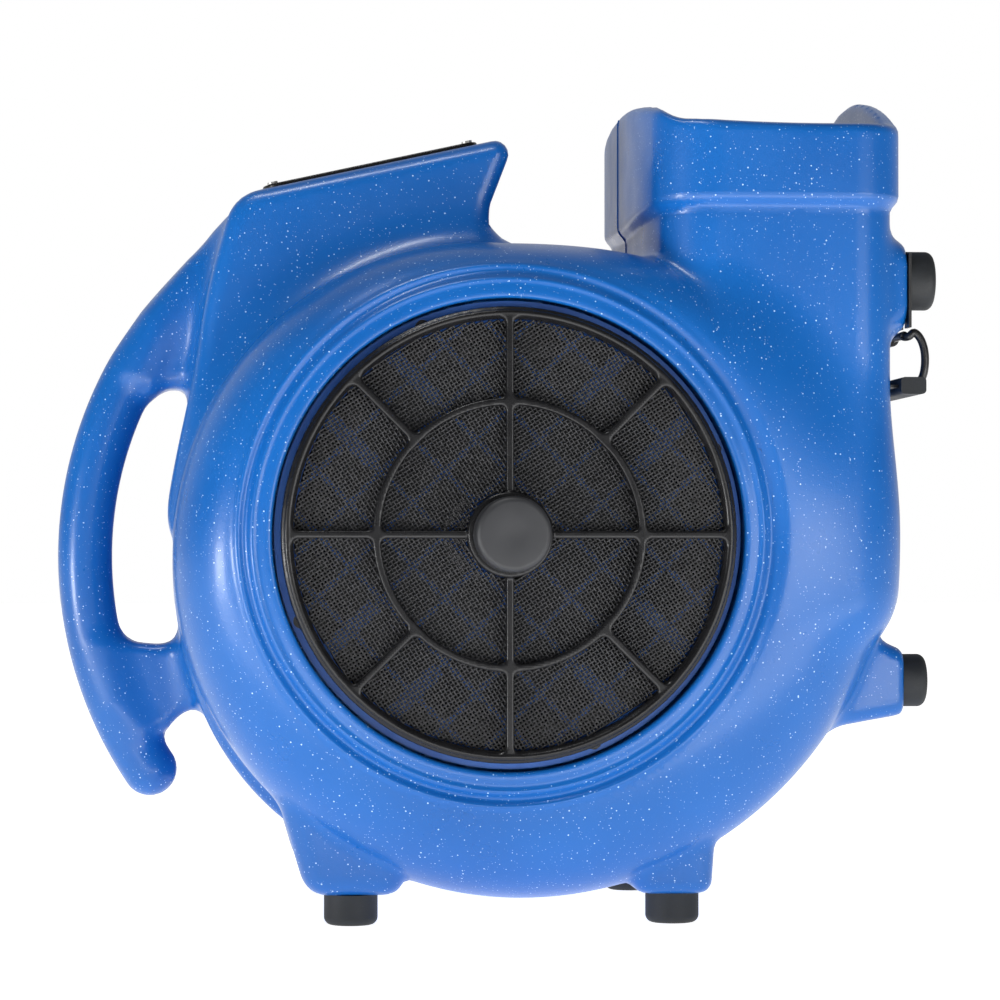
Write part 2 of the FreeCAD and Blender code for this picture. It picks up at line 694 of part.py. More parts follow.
def end_bell(y_rim, y_face, boss_y):
    """A dished end cover with a bearing seat. y_rim meets the shell, y_face is the flat outside."""
    step = 1 if y_face > y_rim else -1
    profile = [(0, y_face), (MOTOR_R - 14, y_face), (MOTOR_R, y_rim + step * 4), (MOTOR_R, y_rim),
               (MOTOR_R - 3.2, y_rim), (MOTOR_R - 3.2, y_rim + step * 2), (MOTOR_R - 16, y_face - step * 4),
               (21, y_face - step * 4), (21, boss_y), (0, boss_y)]
    bell = turned(profile)
    bell = bell.cut(disc(BEARING_R + FIT, boss_y - step, boss_y + step * 10))
    bell = bell.cut(disc(SHAFT_R + 1, min(y_face, boss_y) - 2, max(y_face, boss_y) + 2))
    for i in range(8):
        x, z = polar(36, 45 * i)
        bell = bell.cut(disc(5.5, y_face - 6, y_face + 6, x, z))
    for a in BUSH_ANGLES:
        x, z = polar(BUSH_R, a)
        bell = bell.cut(disc(MOTOR_BOLT_R + FIT, y_face - 6, y_face + 6, x, z))
    return bell


def bearings():
    """Two deep-groove bearings, drawn as closed rings."""
    front = ring(BEARING_R, SHAFT_R + FIT, BEARING_FRONT, BEARING_FRONT + BEARING_T)
    rear = ring(BEARING_R, SHAFT_R + FIT, BEARING_REAR, BEARING_REAR + BEARING_T)
    return front, rear


def motor_shaft():
    shaft = disc(SHAFT_R, -15, 119)
    return rounded(shaft, 1.0, lambda e: abs(e.CenterOfMass.y + 15) < 0.01
                   and e.Curve.TypeId == "Part::GeomCircle")


def rotor_core():
    return ring(27, SHAFT_R, STATOR_FRONT - 2, STATOR_REAR + 2)


def stator_core():
    """The laminated stator with its slots."""
    core = ring(MOTOR_R - SHELL_T, 27.6, STATOR_FRONT, STATOR_REAR)
    for i in range(STATOR_SLOTS):
        x, z = polar(SLOT_AT, 360 / STATOR_SLOTS * i)
        core = core.cut(disc(2.6, STATOR_FRONT - 1, STATOR_REAR + 1, x, z))
    return core


def stator_windings():
    """The two end turns and the copper in the slots."""
    parts = [ring(47, 31, STATOR_FRONT - 10, STATOR_FRONT), ring(47, 31, STATOR_REAR, STATOR_REAR + 10)]
    parts = [rounded(p, 3.0, lambda e: e.Curve.TypeId == "Part::GeomCircle") for p in parts]
    for i in range(STATOR_SLOTS):
        x, z = polar(SLOT_AT, 360 / STATOR_SLOTS * i)
        parts.append(disc(2.5, STATOR_FRONT - 2, STATOR_REAR + 2, x, z))
    return fuse(parts)


def motor_bracket():
    """The pressed spider that hangs the motor in the rear bell-mouth."""
    parts = [ring(56, 34, ARM_Y, ARM_Y + ARM_T)]
    for a in BUSH_ANGLES:
        arm = box(50, 118, ARM_Y, ARM_Y + ARM_T, -9, 9)
        parts.append(arm.rotate(V(0, 0, 0), V(0, 1, 0), -a))
    spider = fuse(parts)
    for a in BUSH_ANGLES:
        x, z = polar(BUSH_R, a)
        spider = spider.cut(disc(MOTOR_BOLT_R + FIT, ARM_Y - 1, ARM_Y + 5, x, z))
        x, z = polar(BRACKET_SCREW_AT, a)
        spider = spider.cut(disc(BRACKET_SCREW_R + FIT, ARM_Y - 1, ARM_Y + 5, x, z))
    return spider


def motor_bushes():
    made = []
    for a in BUSH_ANGLES:
        x, z = polar(BUSH_R, a)
        made.append(ring(8, MOTOR_BOLT_R + FIT, MOTOR_REAR, ARM_Y, x, z))
    return made


def motor_bolts():
    made = []
    for a in BUSH_ANGLES:
        x, z = polar(BUSH_R, a)
        head = disc(5.2, ARM_Y + ARM_T, ARM_Y + ARM_T + HEAD_T, x, z)
        made.append(head.fuse(disc(MOTOR_BOLT_R, MOTOR_REAR - 4, ARM_Y + ARM_T, x, z)))
    return made


def bracket_screws():
    made = []
    for a in BUSH_ANGLES:
        x, z = polar(BRACKET_SCREW_AT, a)
        head = disc(4.5, ARM_Y + ARM_T, ARM_Y + ARM_T + HEAD_T, x, z)
        made.append(head.fuse(disc(BRACKET_SCREW_R, FLOOR_OUT, ARM_Y + ARM_T, x, z)))
    return made


# ---------------------------------------------------------------- control panel

def on_panel(shape):
    """Moves a shape drawn flat (u, v, height above the panel's seat) on to the sloped top."""
    placed = shape.copy()
    placed.rotate(V(0, 0, 0), V(0, 1, 0), -PANEL_SLOPE)
    placed.translate(V(PANEL_X, 0, PANEL_Z))
    return placed


def flat_disc(radius, u, v, n0, n1):
    return Part.makeCylinder(radius, n1 - n0, V(u, v, n0))


def panel_screw_spots():
    return [(su * (PANEL_L / 2 - 6), sv * (PANEL_W / 2 - 5)) for su in (-1, 1) for sv in (-1, 1)]


def control_panel():
    """The moulded plate with two sunk cups for the dials, a socket opening and a breaker hole."""
    outline = rounded_rectangle(V(0, 0, 0), PANEL_L / 2, PANEL_W / 2, 10, V(1, 0, 0), V(0, 1, 0))
    plate = Part.Face(outline).extrude(V(0, 0, PANEL_T))
    plate = plate.makeFillet(1.0, [e for e in plate.Edges if abs(e.CenterOfMass.z - PANEL_T) < 0.01])
    for sv in SIDES:
        cup = flat_disc(CUP_R, KNOB_U, sv * KNOB_V, -CUP_DEPTH - 2.5, 0.5)
        plate = plate.fuse(cup)
    for sv in SIDES:
        plate = plate.cut(flat_disc(CUP_BORE_R, KNOB_U, sv * KNOB_V, -CUP_DEPTH, 10))
        plate = plate.cut(flat_disc(4.5, KNOB_U, sv * KNOB_V, -30, 10))
    plate = plate.cut(Part.makeBox(2 * SOCKET_HALF_U, 2 * SOCKET_HALF_V, 20,
                                   V(SOCKET_U - SOCKET_HALF_U, SOCKET_V - SOCKET_HALF_V, -10)))
    plate = plate.cut(flat_disc(BREAKER_R, BREAKER_U, BREAKER_V, -5, 10))
    for u, v in panel_screw_spots():
        plate = plate.cut(flat_disc(PANEL_SCREW_R + FIT, u, v, -5, 10))
    return on_panel(plate)


def panel_screws():
    made = []
    for u, v in panel_screw_spots():
        screw = flat_disc(3.1, u, v, PANEL_T, PANEL_T + 1.2).fuse(flat_disc(PANEL_SCREW_R, u, v, -4.5, PANEL_T))
        made.append(on_panel(screw))
    return made


def dial_knob(v):
    """A round dial with a grip bar across it and a bore for the spindle."""
    base = flat_disc(DIAL_R, KNOB_U, v, -CUP_DEPTH + 1.0, -CUP_DEPTH + 5)
    grip = Part.makeBox(2 * DIAL_R - 3, 8, 13, V(KNOB_U - DIAL_R + 1.5, v - 4, -CUP_DEPTH + 2))
    grip = grip.makeFillet(1.5, [e for e in grip.Edges if abs(e.CenterOfMass.z + CUP_DEPTH - 15) < 0.01])
    knob = base.fuse(grip).cut(flat_disc(SPINDLE_R + FIT, KNOB_U, v, -CUP_DEPTH - 1, -4))
    return on_panel(knob)


def switch_body(v, half, depth):
    """A square switch body with its mounting neck."""
    top = -CUP_DEPTH - 2.5
    body = Part.makeBox(2 * half, 2 * half, depth, V(KNOB_U - half, v - half, top - depth))
    neck = flat_disc(4.4, KNOB_U, v, top, -CUP_DEPTH + 0.5)
    bore = flat_disc(SPINDLE_R + 0.1, KNOB_U, v, top - 5, 0)
    return on_panel(body.fuse(neck).cut(bore))


def spindle(v):
    return on_panel(flat_disc(SPINDLE_R, KNOB_U, v, -CUP_DEPTH - 7, -4.2))


def socket_outlet():
    """A duplex socket block with slots, flush with the panel."""
    half_u, half_v = SOCKET_HALF_U - 0.3, SOCKET_HALF_V - 0.3
    block = Part.makeBox(2 * half_u, 2 * half_v, 26, V(SOCKET_U - half_u, SOCKET_V - half_v, PANEL_T - 26))
    for u in (SOCKET_U - 11.5, SOCKET_U + 11.5):
        for dv in (-6, 6):
            block = block.cut(Part.makeBox(2, 7, 12, V(u - 1, SOCKET_V + dv - 3.5, PANEL_T - 12)))
        block = block.cut(flat_disc(2.6, u + 6.5, SOCKET_V, PANEL_T - 12, PANEL_T + 1))
    return on_panel(block)


def breaker_body():
    """The breaker's round body, with a bore for its reset button."""
    body = flat_disc(BREAKER_R - 0.1, BREAKER_U, BREAKER_V, -24, PANEL_T + 1.0)
    return on_panel(body.cut(flat_disc(BUTTON_R + 0.2, BREAKER_U, BREAKER_V, -8, PANEL_T + 5)))


def breaker_button():
    button = flat_disc(BUTTON_R, BREAKER_U, BREAKER_V, -4.0, PANEL_T + 2.5)
    button = button.makeFillet(0.8, [e for e in button.Edges if abs(e.CenterOfMass.z - PANEL_T - 2.5) < 0.01])
    return on_panel(button)


def capacitor():
    can = disc(CAPACITOR_R, -30, 26, CAPACITOR_X, CAPACITOR_Z)
    can = rounded(can, 1.5, lambda e: e.Curve.TypeId == "Part::GeomCircle")
    tabs = [box(CAPACITOR_X - 6, CAPACITOR_X - 4, 25, 34, CAPACITOR_Z - 3, CAPACITOR_Z + 3),
            box(CAPACITOR_X + 4, CAPACITOR_X + 6, 25, 34, CAPACITOR_Z - 3, CAPACITOR_Z + 3)]
    return fuse([can] + tabs)


def capacitor_clamp():
    """A strap round the can with a tab that is fixed to the pocket's wall."""
    band = ring(CAPACITOR_R + 1.5, CAPACITOR_R, -8, 8, CAPACITOR_X, CAPACITOR_Z)
    tab = box(-157, CAPACITOR_X - CAPACITOR_R - 0.6, -8, 8, CAPACITOR_Z - 1, CAPACITOR_Z + 1)
    return fuse([band, tab]).cut(disc(CAPACITOR_R, -9, 9, CAPACITOR_X, CAPACITOR_Z))


def cord_gland():
    """The inlet for the supply cord, in the control box's rear wall."""
    flange = disc(11, BOX_Y, BOX_Y + 5, GLAND_X, GLAND_Z)
    dome = disc(8, BOX_Y + 5, BOX_Y + 14, GLAND_X, GLAND_Z)
    dome = rounded(dome, 3.0, lambda e: abs(e.CenterOfMass.y - BOX_Y - 14) < 0.01
                   and e.Curve.TypeId == "Part::GeomCircle")
    barrel = disc(GLAND_R, BOX_Y - 14, BOX_Y, GLAND_X, GLAND_Z)
    return fuse([flange, dome, barrel]).cut(disc(4, BOX_Y - 20, BOX_Y + 20, GLAND_X, GLAND_Z))


def gland_nut():
    return ring(11, GLAND_R + FIT, BOX_Y - WALL - 5, BOX_Y - WALL, GLAND_X, GLAND_Z)


# ---------------------------------------------------------------- outlet grille

def outlet_grille():
    """The safety grille sunk in the outlet: a frame that follows the duct, bars and two ties."""
    z0 = GRILLE_SCREW_Z - 5
    frame = duct_prism(-WALL - 0.4, z0, z0 + 10).cut(duct_prism(-WALL - 6, z0 - 1, z0 + 11))
    bars = []
    for i in range(-8, 9):
        bars.append(box(80, 230, i * 15 - 1.5, i * 15 + 1.5, z0 + 1, z0 + 9))
    for x in (132, 178):
        bars.append(box(x - 1.5, x + 1.5, -140, 140, z0 + 2, z0 + 8))
    grid = fuse(bars).common(duct_prism(-WALL - 5, z0 - 1, z0 + 11))
    grille = fuse([frame, grid])
    for side in SIDES:
        hole = disc(2.0, side * (DUCT_Y - 15), side * (DUCT_Y + 1), GRILLE_SCREW_X, GRILLE_SCREW_Z)
        grille = grille.cut(hole)
    return grille


def grille_screws():
    made = []
    for side in SIDES:
        head = disc(3.2, side * (DUCT_Y - WALL), side * (DUCT_Y - WALL + 2), GRILLE_SCREW_X, GRILLE_SCREW_Z)
        shank = disc(1.95, side * (DUCT_Y - 12), side * (DUCT_Y - WALL), GRILLE_SCREW_X, GRILLE_SCREW_Z)
        made.append(head.fuse(shank))
    return made


# ---------------------------------------------------------------- carpet clamp

def clamp_plate():
    """The pressed plate under the upper side feet, with knuckles for the bail."""
    x0, x1 = UPPER_PAD_X, UPPER_PAD_X + CLAMP_T
    pieces = [box(x0, x1, -PLATE_Y, PLATE_Y, HINGE_Z + 3.5, 140)]
    for side in SIDES:
        low, high = sorted((side * 89, side * PLATE_Y))
        pieces.append(box(x0, x1, low, high, HINGE_Z + 3.5, PLATE_TOP))
    plate = fuse(pieces)
    for side in SIDES:
        low, high = sorted((side * (BAIL_Y - 6), side * (BAIL_Y + 6)))
        plate = plate.cut(box(x0 - 1, x1 + 1, low, high, HINGE_Z, 131))
        low, high = sorted((side * 48, side * 64))
        knuckle = disc(KNUCKLE_R, low, high, HINGE_X, HINGE_Z)
        plate = plate.fuse(knuckle)
        plate = plate.cut(disc(BAIL_R + 0.1, low - 1, high + 1, HINGE_X, HINGE_Z))
        plate = plate.cut(Part.makeCylinder(SCREW_SHANK_R, 10, V(x0 - 2, side * UPPER_FOOT_Y, UPPER_FOOT_Z),
                                            V(1, 0, 0)))
    plate = plate.cut(box(x0 - 1, x1 + 1, -22, 22, HINGE_Z, HINGE_Z + 8))
    return plate


def clamp_bail():
    """The wire bail: its top bar is the hinge pin, its arms bow out and down to the jaw."""
    left = [V(x, -BAIL_Y, z) for x, z in BAIL_BOW]
    right = [V(x, BAIL_Y, z) for x, z in BAIL_BOW]
    path = left[::-1] + [V(HINGE_X, -BAIL_Y, HINGE_Z), V(HINGE_X, BAIL_Y, HINGE_Z)] + right
    return fuse([rod(path, BAIL_R), rod([left[-1], right[-1]], BAIL_R)])


def clamp_jaw():
    """The strip of teeth that grips a carpet against the housing."""
    strip = box(225.2, 236.0, -JAW_Y, JAW_Y, JAW_Z, JAW_Z + CLAMP_T)
    for i in range(-7, 8):
        strip = strip.cut(box(224, 228.5, i * 12.5 - 3, i * 12.5 + 3, 84, 89))
    return strip


def clamp_pad():
    """The rubber grip moulded over the bail's lower bar and the jaw's root."""
    block = box(231.5, 246.2, -GRIP_Y, GRIP_Y, JAW_Z - 4.0, JAW_Z + 5.8)
    block = rounded(block, 2.4, lambda e: e.Length > 100)
    block = block.cut(clamp_bail())
    return block.cut(clamp_jaw())


def clamp_spring():
    """The torsion spring round the hinge bar, closed coils with a leg on the plate."""
    coils = [Part.makeTorus(4.0, 0.9, V(HINGE_X, -14 + 1.7 * i, HINGE_Z), V(0, 1, 0)) for i in range(17)]
    leg = rod([V(HINGE_X + 2.8, -14, HINGE_Z + 2.8), V(HINGE_X + 2.8, -14, HINGE_Z + 5),
               V(HINGE_X + 1.5, -14, HINGE_Z + 14)], 0.8)
    return fuse(coils + [leg])


# ---------------------------------------------------------------- nodes

def build():
    export("housing", housing())
    export("outlet_grille", outlet_grille())
    export("grille_screws", *grille_screws())
    for side, tag in zip(SIDES, ("front", "rear")):
        export("inlet_guard_" + tag, on_side(inlet_guard(), side))
        export("filter_frame_" + tag, on_side(filter_frame(), side))
        export("filter_mesh_" + tag, on_side(filter_mesh(), side))
        export("filter_knob_" + tag, on_side(filter_knob(), side))
        export("filter_stud_" + tag, on_side(filter_stud(), side))
    export("inlet_ring_front", mirrored(inlet_ring()))
    export("inlet_ring_rear", rear_inlet_ring())
    export("guard_screws", *[on_side(screw, side) for side in SIDES for screw in guard_screws()])
    export("guard_inserts", *[on_side(guard_insert(), side) for side in SIDES])
    export("impeller", impeller())
    export("impeller_hub", impeller_hub())
    export("hub_set_screw", hub_set_screw())
    export("motor_shell", motor_shell())
    export("motor_end_bell_front", end_bell(SHELL_FRONT, MOTOR_FRONT, BEARING_FRONT + BEARING_T))
    export("motor_end_bell_rear", end_bell(SHELL_REAR, MOTOR_REAR, BEARING_REAR))
    export("motor_bearings", *bearings())
    export("motor_shaft", motor_shaft())
    export("rotor_core", rotor_core())
    export("stator_core", stator_core())
    export("stator_windings", stator_windings())
    export("motor_bracket", motor_bracket())
    export("motor_bushes", *motor_bushes())
    export("motor_bolts", *motor_bolts())
    export("bracket_screws", *bracket_screws())
    export("control_panel", control_panel())
    export("panel_screws", *panel_screws())
    export("speed_knob", dial_knob(-KNOB_V))
    export("speed_spindle", spindle(-KNOB_V))
    export("speed_switch", switch_body(-KNOB_V, 17, 24))
    export("timer_knob", dial_knob(KNOB_V))
    export("timer_spindle", spindle(KNOB_V))
    export("timer_body", switch_body(KNOB_V, 20, 28))
    export("power_socket", socket_outlet())
    export("breaker_body", breaker_body())
    export("breaker_button", breaker_button())
    export("capacitor", capacitor())
    export("capacitor_clamp", capacitor_clamp())
    export("cord_gland", cord_gland())
    export("gland_nut", gland_nut())
    for wanted in sorted(set(FOOT_NAMES)):
        export(wanted, *[rubber_foot(place, away, *foot_sizes(name))
                         for name, (place, away) in zip(FOOT_NAMES, foot_places()) if name == wanted])
    screws, washers = foot_fasteners()
    export("foot_screws", *screws)
    export("foot_washers", *washers)
    export("clamp_plate", clamp_plate())
    export("clamp_bail", clamp_bail())
    export("clamp_jaw", clamp_jaw())
    export("clamp_pad", clamp_pad())
    export("clamp_spring", clamp_spring())


build()
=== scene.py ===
"""Looks of a commercial air mover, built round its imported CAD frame."""
import json
import math

import bpy
import numpy as np
import openvdb
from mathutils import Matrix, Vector


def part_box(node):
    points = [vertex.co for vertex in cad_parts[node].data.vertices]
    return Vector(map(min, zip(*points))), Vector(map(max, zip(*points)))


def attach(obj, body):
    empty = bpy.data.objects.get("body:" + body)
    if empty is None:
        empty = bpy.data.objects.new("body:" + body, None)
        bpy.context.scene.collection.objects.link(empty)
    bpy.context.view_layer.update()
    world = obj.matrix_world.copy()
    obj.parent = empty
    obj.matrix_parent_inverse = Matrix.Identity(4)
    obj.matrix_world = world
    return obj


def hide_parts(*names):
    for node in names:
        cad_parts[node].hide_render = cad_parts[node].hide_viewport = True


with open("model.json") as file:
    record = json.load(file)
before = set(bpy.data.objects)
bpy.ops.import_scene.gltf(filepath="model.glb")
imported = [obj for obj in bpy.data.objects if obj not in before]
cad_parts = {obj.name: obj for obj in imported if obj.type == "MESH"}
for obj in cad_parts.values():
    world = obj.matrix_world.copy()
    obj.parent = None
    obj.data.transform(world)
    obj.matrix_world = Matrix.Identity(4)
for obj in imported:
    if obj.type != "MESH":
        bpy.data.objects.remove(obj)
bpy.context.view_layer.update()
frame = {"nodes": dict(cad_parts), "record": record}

MM = 0.001
wheel_low, wheel_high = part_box("impeller")
AXIS = (wheel_low + wheel_high) / 2         # where the fan axis crosses the mid-plane
GRID = 3.1           # spacing of the sampling grid for the housing, mm

# ---------------------------------------------------------------- sizes, in mm about the fan axis

WALL = 5.0
SPIRAL_BASE = 147.0         # scroll radius extrapolated to 0 degrees
SPIRAL_GAIN = 19.7          # growth of the radius over a quarter turn
SPIRAL_MAX = 224.0
SPIRAL_CLOSING = 57.3       # what the radius gives up over the first quarter turn
CREST_R = 138.0             # radius at which the scroll's shoulder starts to fall
DRUM_Y = 164.3              # half width of the scroll at the crest
SHOULDER = 57.3             # how far the shoulder falls along Y

BELT_Y = 78.0               # half width of the raised middle belt
BELT_AT = 228.0             # angle of the belt's highest point, degrees
BELT_BUMP = 11.0

INLET_R = 131.7
FLOOR_HOLE_R = 113.0
FLOOR_Y = 146.0             # outside of the inlet's floor
RING_IN, RING_OUT = 131.9, 158.5            # radii of the finely drawn band round each inlet

DUCT_Y = 142.0
DUCT_LEFT = 84.5            # left wall at the mid-plane
DUCT_LEFT_BACK = 12.0       # how much further right its corners are
DUCT_RIGHT = 222.5
DUCT_CORNER = 24.5
COLLAR_OUT = 5.0
COLLAR_Z = 186.0            # where the collar's chamfer starts
RIM_DISH = 233.4            # lowest rim on the long walls
RIM_LEFT, RIM_RIGHT = 253.5, 259.5          # tops of the two humps

BOX_Y = 75.0
BOX_SIDE = [(-205, 185.9), (12.5, 233.4), (-3, 193), (-5, 181), (0, 171), (8, 163), (10, 120),
            (-60, 100), (-150, 0), (-186, -2), (-205, 60)]
POCKET_SIDE = [(-165, 110), (-149.5, 185.6), (-137, 195.2), (-8, 223.5), (-16, 178), (-30, 120), (-120, 80)]
PANEL_X, PANEL_Z = -72.1, 214.9             # middle of the control panel
PANEL_SLOPE = math.radians(12.38)
HATCH_HALF = 52.0           # half side of the hole under the panel

HANDLE_X, HANDLE_Z = -12.6, -11.5           # middle of the grip's bend
HANDLE_BEND = 226.7
HANDLE_R = 16.0
HANDLE_START, HANDLE_END = 122.0, 213.9     # angles of the grip's upper and free end, degrees
HANDLE_ROOT = [(-212, 96), (-201, 86), (-186, 89), (-172, 95), (-160, 150), (-152, 186), (-176, 163),
               (-200, 130)]
HANDLE_BRIDGE = [(-232, -60), (-207, -63), (-176, -66), (-172, -95), (-190, -113), (-206, -118),
                 (-224, -100)]

SCREW_X, SCREW_Z, SCREW_R = 166.0, 181.6, 3.3

FRAME_R = 124.0             # filter frame
RING_R = 74.0               # its inner ring
RIB_HALF = 2.1
NET_R, NET_HOLE, NET_PITCH, NET_Y = 120.3, 23.5, 2.1, 161.95

HINGE_X, HINGE_Z = 234.1, 115.8             # the clamp's hinge bar
BAIL_R = 2.35
COIL_R, COIL_WIRE = 4.0, 0.85
COIL_TURNS, COIL_PITCH = 14, 1.86
SEAM_X, SEAM_R = 80.0, 0.55


# ---------------------------------------------------------------- fields, in mm about the fan axis

def soft_union(a, b, k):
    h = np.clip(0.5 + 0.5 * (b - a) / k, 0, 1)
    return b + (a - b) * h - k * h * (1 - h)


def soft_common(a, b, k):
    return -soft_union(-a, -b, k)


def ease(t):
    t = np.clip(t, 0, 1)
    return t * t * (3 - 2 * t)


def bell(value, centre, width):
    return np.exp(-((value - centre) / width) ** 2)


def spiral(x, z):
    """Scroll radius and angle: steady growth from 90 to 360 degrees, closing in the first quarter."""
    degrees = np.degrees(np.arctan2(z, x)) % 360.0
    closing = SPIRAL_MAX - SPIRAL_CLOSING * ease(degrees / 90)
    growing = np.minimum(SPIRAL_BASE + SPIRAL_GAIN * degrees / 90, SPIRAL_MAX)
    return np.where(degrees < 90, closing, growing), degrees


def rounded(a, b, r):
    """Joins two distances, both already moved by r, with an edge of that radius."""
    return np.hypot(np.maximum(a, 0), np.maximum(b, 0)) + np.minimum(np.maximum(a, b), 0) - r


def left_of(x, z, point, way):
    """Signed distance to a line in the XZ plane: positive on the left of its direction."""
    return ((z - point[1]) * way[0] - (x - point[0]) * way[1]) / math.hypot(*way)


def outline(x, z, points):
    """Signed distance to a closed outline."""
    best = None
    inside = np.zeros(np.shape(x), bool)
    for (ax, az), (bx, bz) in zip(points, points[1:] + points[:1]):
        ex, ez = bx - ax, bz - az
        wx, wz = x - ax, z - az
        t = np.clip((wx * ex + wz * ez) / (ex * ex + ez * ez), 0, 1)
        d = (wx - ex * t) ** 2 + (wz - ez * t) ** 2
        best = d if best is None else np.minimum(best, d)
        side = ex * wz - ez * wx
        inside ^= ((z >= az) & (z < bz) & (side > 0)) | ((z < az) & (z >= bz) & (side < 0))
    return np.where(inside, -1.0, 1.0) * np.sqrt(best)


def inset(points, r):
    """Moves the sides of an outline inwards."""
    area = sum(ax * bz - bx * az for (ax, az), (bx, bz) in zip(points, points[1:] + points[:1]))
    turn = 1 if area > 0 else -1
    made = []
    for i in range(len(points)):
        p, q, s = (np.array(points[(i + j) % len(points)], float) for j in (-1, 0, 1))
        a = (q - p) / np.linalg.norm(q - p)
        b = (s - q) / np.linalg.norm(s - q)
        na, nb = np.array([-a[1], a[0]]) * turn, np.array([-b[1], b[0]]) * turn
        made.append(tuple(q + (na + nb) * r / (1 + na @ nb)))
    return made


def slab(flat, y, half, r):
    """Gives a plane field a thickness along Y, with rounded rims."""
    return rounded(flat + r, y - (half - r), r)


def drum(x, y, z, crest, top, depth, offset=0.0):
    """Scroll with elliptic shoulders between the crest radius and the wall."""
    rho = np.hypot(x, z)
    r, _ = spiral(x, z)
    r = r - offset
    a = r - crest
    u = np.maximum(rho - crest, 0)
    v = np.maximum(y - (top - depth), 0)
    h = np.sqrt((u / a) ** 2 + (v / depth) ** 2) + 1e-6
    g = np.sqrt((u / a ** 2) ** 2 + (v / depth ** 2) ** 2) + 1e-6
    return np.where(h < 0.05, np.maximum(rho - r, y - top), h * (h - 1) / g)


def duct(x, y, offset):
    """The outlet's four walls, moved outwards by offset."""
    left = DUCT_LEFT + DUCT_LEFT_BACK * (y / DUCT_Y) ** 4
    r = DUCT_CORNER + offset
    return rounded(np.maximum(left - x, x - DUCT_RIGHT) + r - offset, y - DUCT_Y + r - offset, r)


def rim_height(x, y):
    """Top of the outlet: a shallow dish over the long walls and a hump over each short wall."""
    dish = RIM_DISH + 3.5 * ((x - 180.0) / 90.0) ** 2
    left = RIM_LEFT - 14.3 * (y / DUCT_Y) ** 2 - 0.6 * np.maximum(x - 90.0, 0)
    right = RIM_RIGHT - 33.6 * (y / DUCT_Y) ** 2 - 0.6 * np.maximum(219.0 - x, 0)
    return soft_common(soft_common(dish, left, 4.0), right, 4.0)


def stub(along, a, b, start, end, middle, half, tip, r, k):
    """A tapered stub along one axis, from start to end, with its edges rounded by r and its tip by k.

    middle and half are its centre and half widths at start; tip holds all four at end.
    """
    t = (along - start) / (end - start)
    ca = middle[0] + (tip[0] - middle[0]) * t
    cb = middle[1] + (tip[1] - middle[1]) * t
    ha = half[0] + (tip[2] - half[0]) * t
    hb = half[1] + (tip[3] - half[1]) * t
    side = rounded(np.abs(a - ca) - ha + r, np.abs(b - cb) - hb + r, r)
    sign = 1 if end > start else -1
    side = soft_common(side, (along - end) * sign, k)
    return np.maximum(side, (start - along) * sign)


def shoulder(x, y, z):
    """The scroll's outside, with the lip and the two ridges round each inlet."""
    rho = np.hypot(x, z)
    right = bell(np.degrees(np.arctan2(z, x)), 12.0, 55.0)
    ridges = (1.4 * bell(rho, 134.5, 4.5) + 1.3 * bell(rho, 142.8, 2.0) - 1.6 * bell(rho, 147.0, 2.6)
              + 1.3 * (1 - right) * bell(rho, 151.0, 2.2) - 2.0 * right * bell(rho, 150.0, 5.0))
    return drum(x, y - ridges, z, CREST_R, DRUM_Y, SHOULDER)


def belt(x, y, z):
    """The raised band round the scroll's middle, highest at the lower left."""
    r, degrees = spiral(x, z)
    return slab(np.hypot(x, z) - (r - 4 + BELT_BUMP * bell(degrees, BELT_AT, 34.0)), y, BELT_Y, 9.0)


def control_box(x, y, z):
    """The box with its overhanging nose, filleted to a drum that lies inside the scroll."""
    box = outline(x, z, inset(BOX_SIDE, 8.0)) - 8.0
    box = soft_common(box, left_of(x, z, (-168.0, 142.0), (13.3, 46.2)), 14.0)
    box = soft_common(box, left_of(x, z, (-181.0, 46.0), (13.0, 96.0)), 4.0)
    box = soft_common(slab(box, y, BOX_Y, 10.0), -z, 30.0)
    return soft_union(drum(x, y, z, 130.0, 154.0, 52.0, 7.0), box, 34.0)


def handle(x, y, z):
    """The bent grip, thicker and drawn in towards its upper end, and the two webs that tie it on."""
    degrees = np.degrees(np.arctan2(z - HANDLE_Z, x - HANDLE_X)) % 360.0
    around = np.radians(np.clip(degrees, HANDLE_START, HANDLE_END))
    bend = HANDLE_BEND - 10.0 * ease((np.radians(152) - around) / 0.45)
    near_x, near_z = HANDLE_X + bend * np.cos(around), HANDLE_Z + bend * np.sin(around)
    thick = HANDLE_R + 5.0 * ease((np.radians(150) - around) / 0.4)
    grip = np.sqrt((x - near_x) ** 2 + y ** 2 + (z - near_z) ** 2) - thick
    root = slab(outline(x, z, inset(HANDLE_ROOT, 4.0)) - 4.0, y, 17.0, 7.0)
    bridge = slab(outline(x, z, inset(HANDLE_BRIDGE, 4.0)) - 4.0, y, 14.0, 6.0)
    return soft_union(soft_union(grip, root, 14.0), bridge, 12.0)


def pedestals(x, y, z):
    """The stubs over the bottom feet, left and right."""
    left = stub(z, x, y, -150.0, -203.7, (-90.0, 103.0), (37, 28), (-83.5, 103.5, 27.5, 24), 13.0, 13.0)
    right = stub(z, x, y, -150.0, -203.7, (91.5, 103.0), (31, 28), (97.3, 103.5, 22, 23), 11.0, 8.0)
    return np.minimum(left, right)


def side_bosses(x, y, z):
    """The stubs behind the side feet, upper and lower."""
    upper = stub(x, y, z, 190.0, 233.1, (105.0, 139.0), (27, 44), (105.0, 143.5, 17.5, 24), 14.0, 5.0)
    lower = stub(x, y, z, 160.0, 235.0, (80.0, -76.0), (30, 40), (80.0, -84.8, 18, 18.8), 9.0, 4.0)
    return np.minimum(upper, lower)


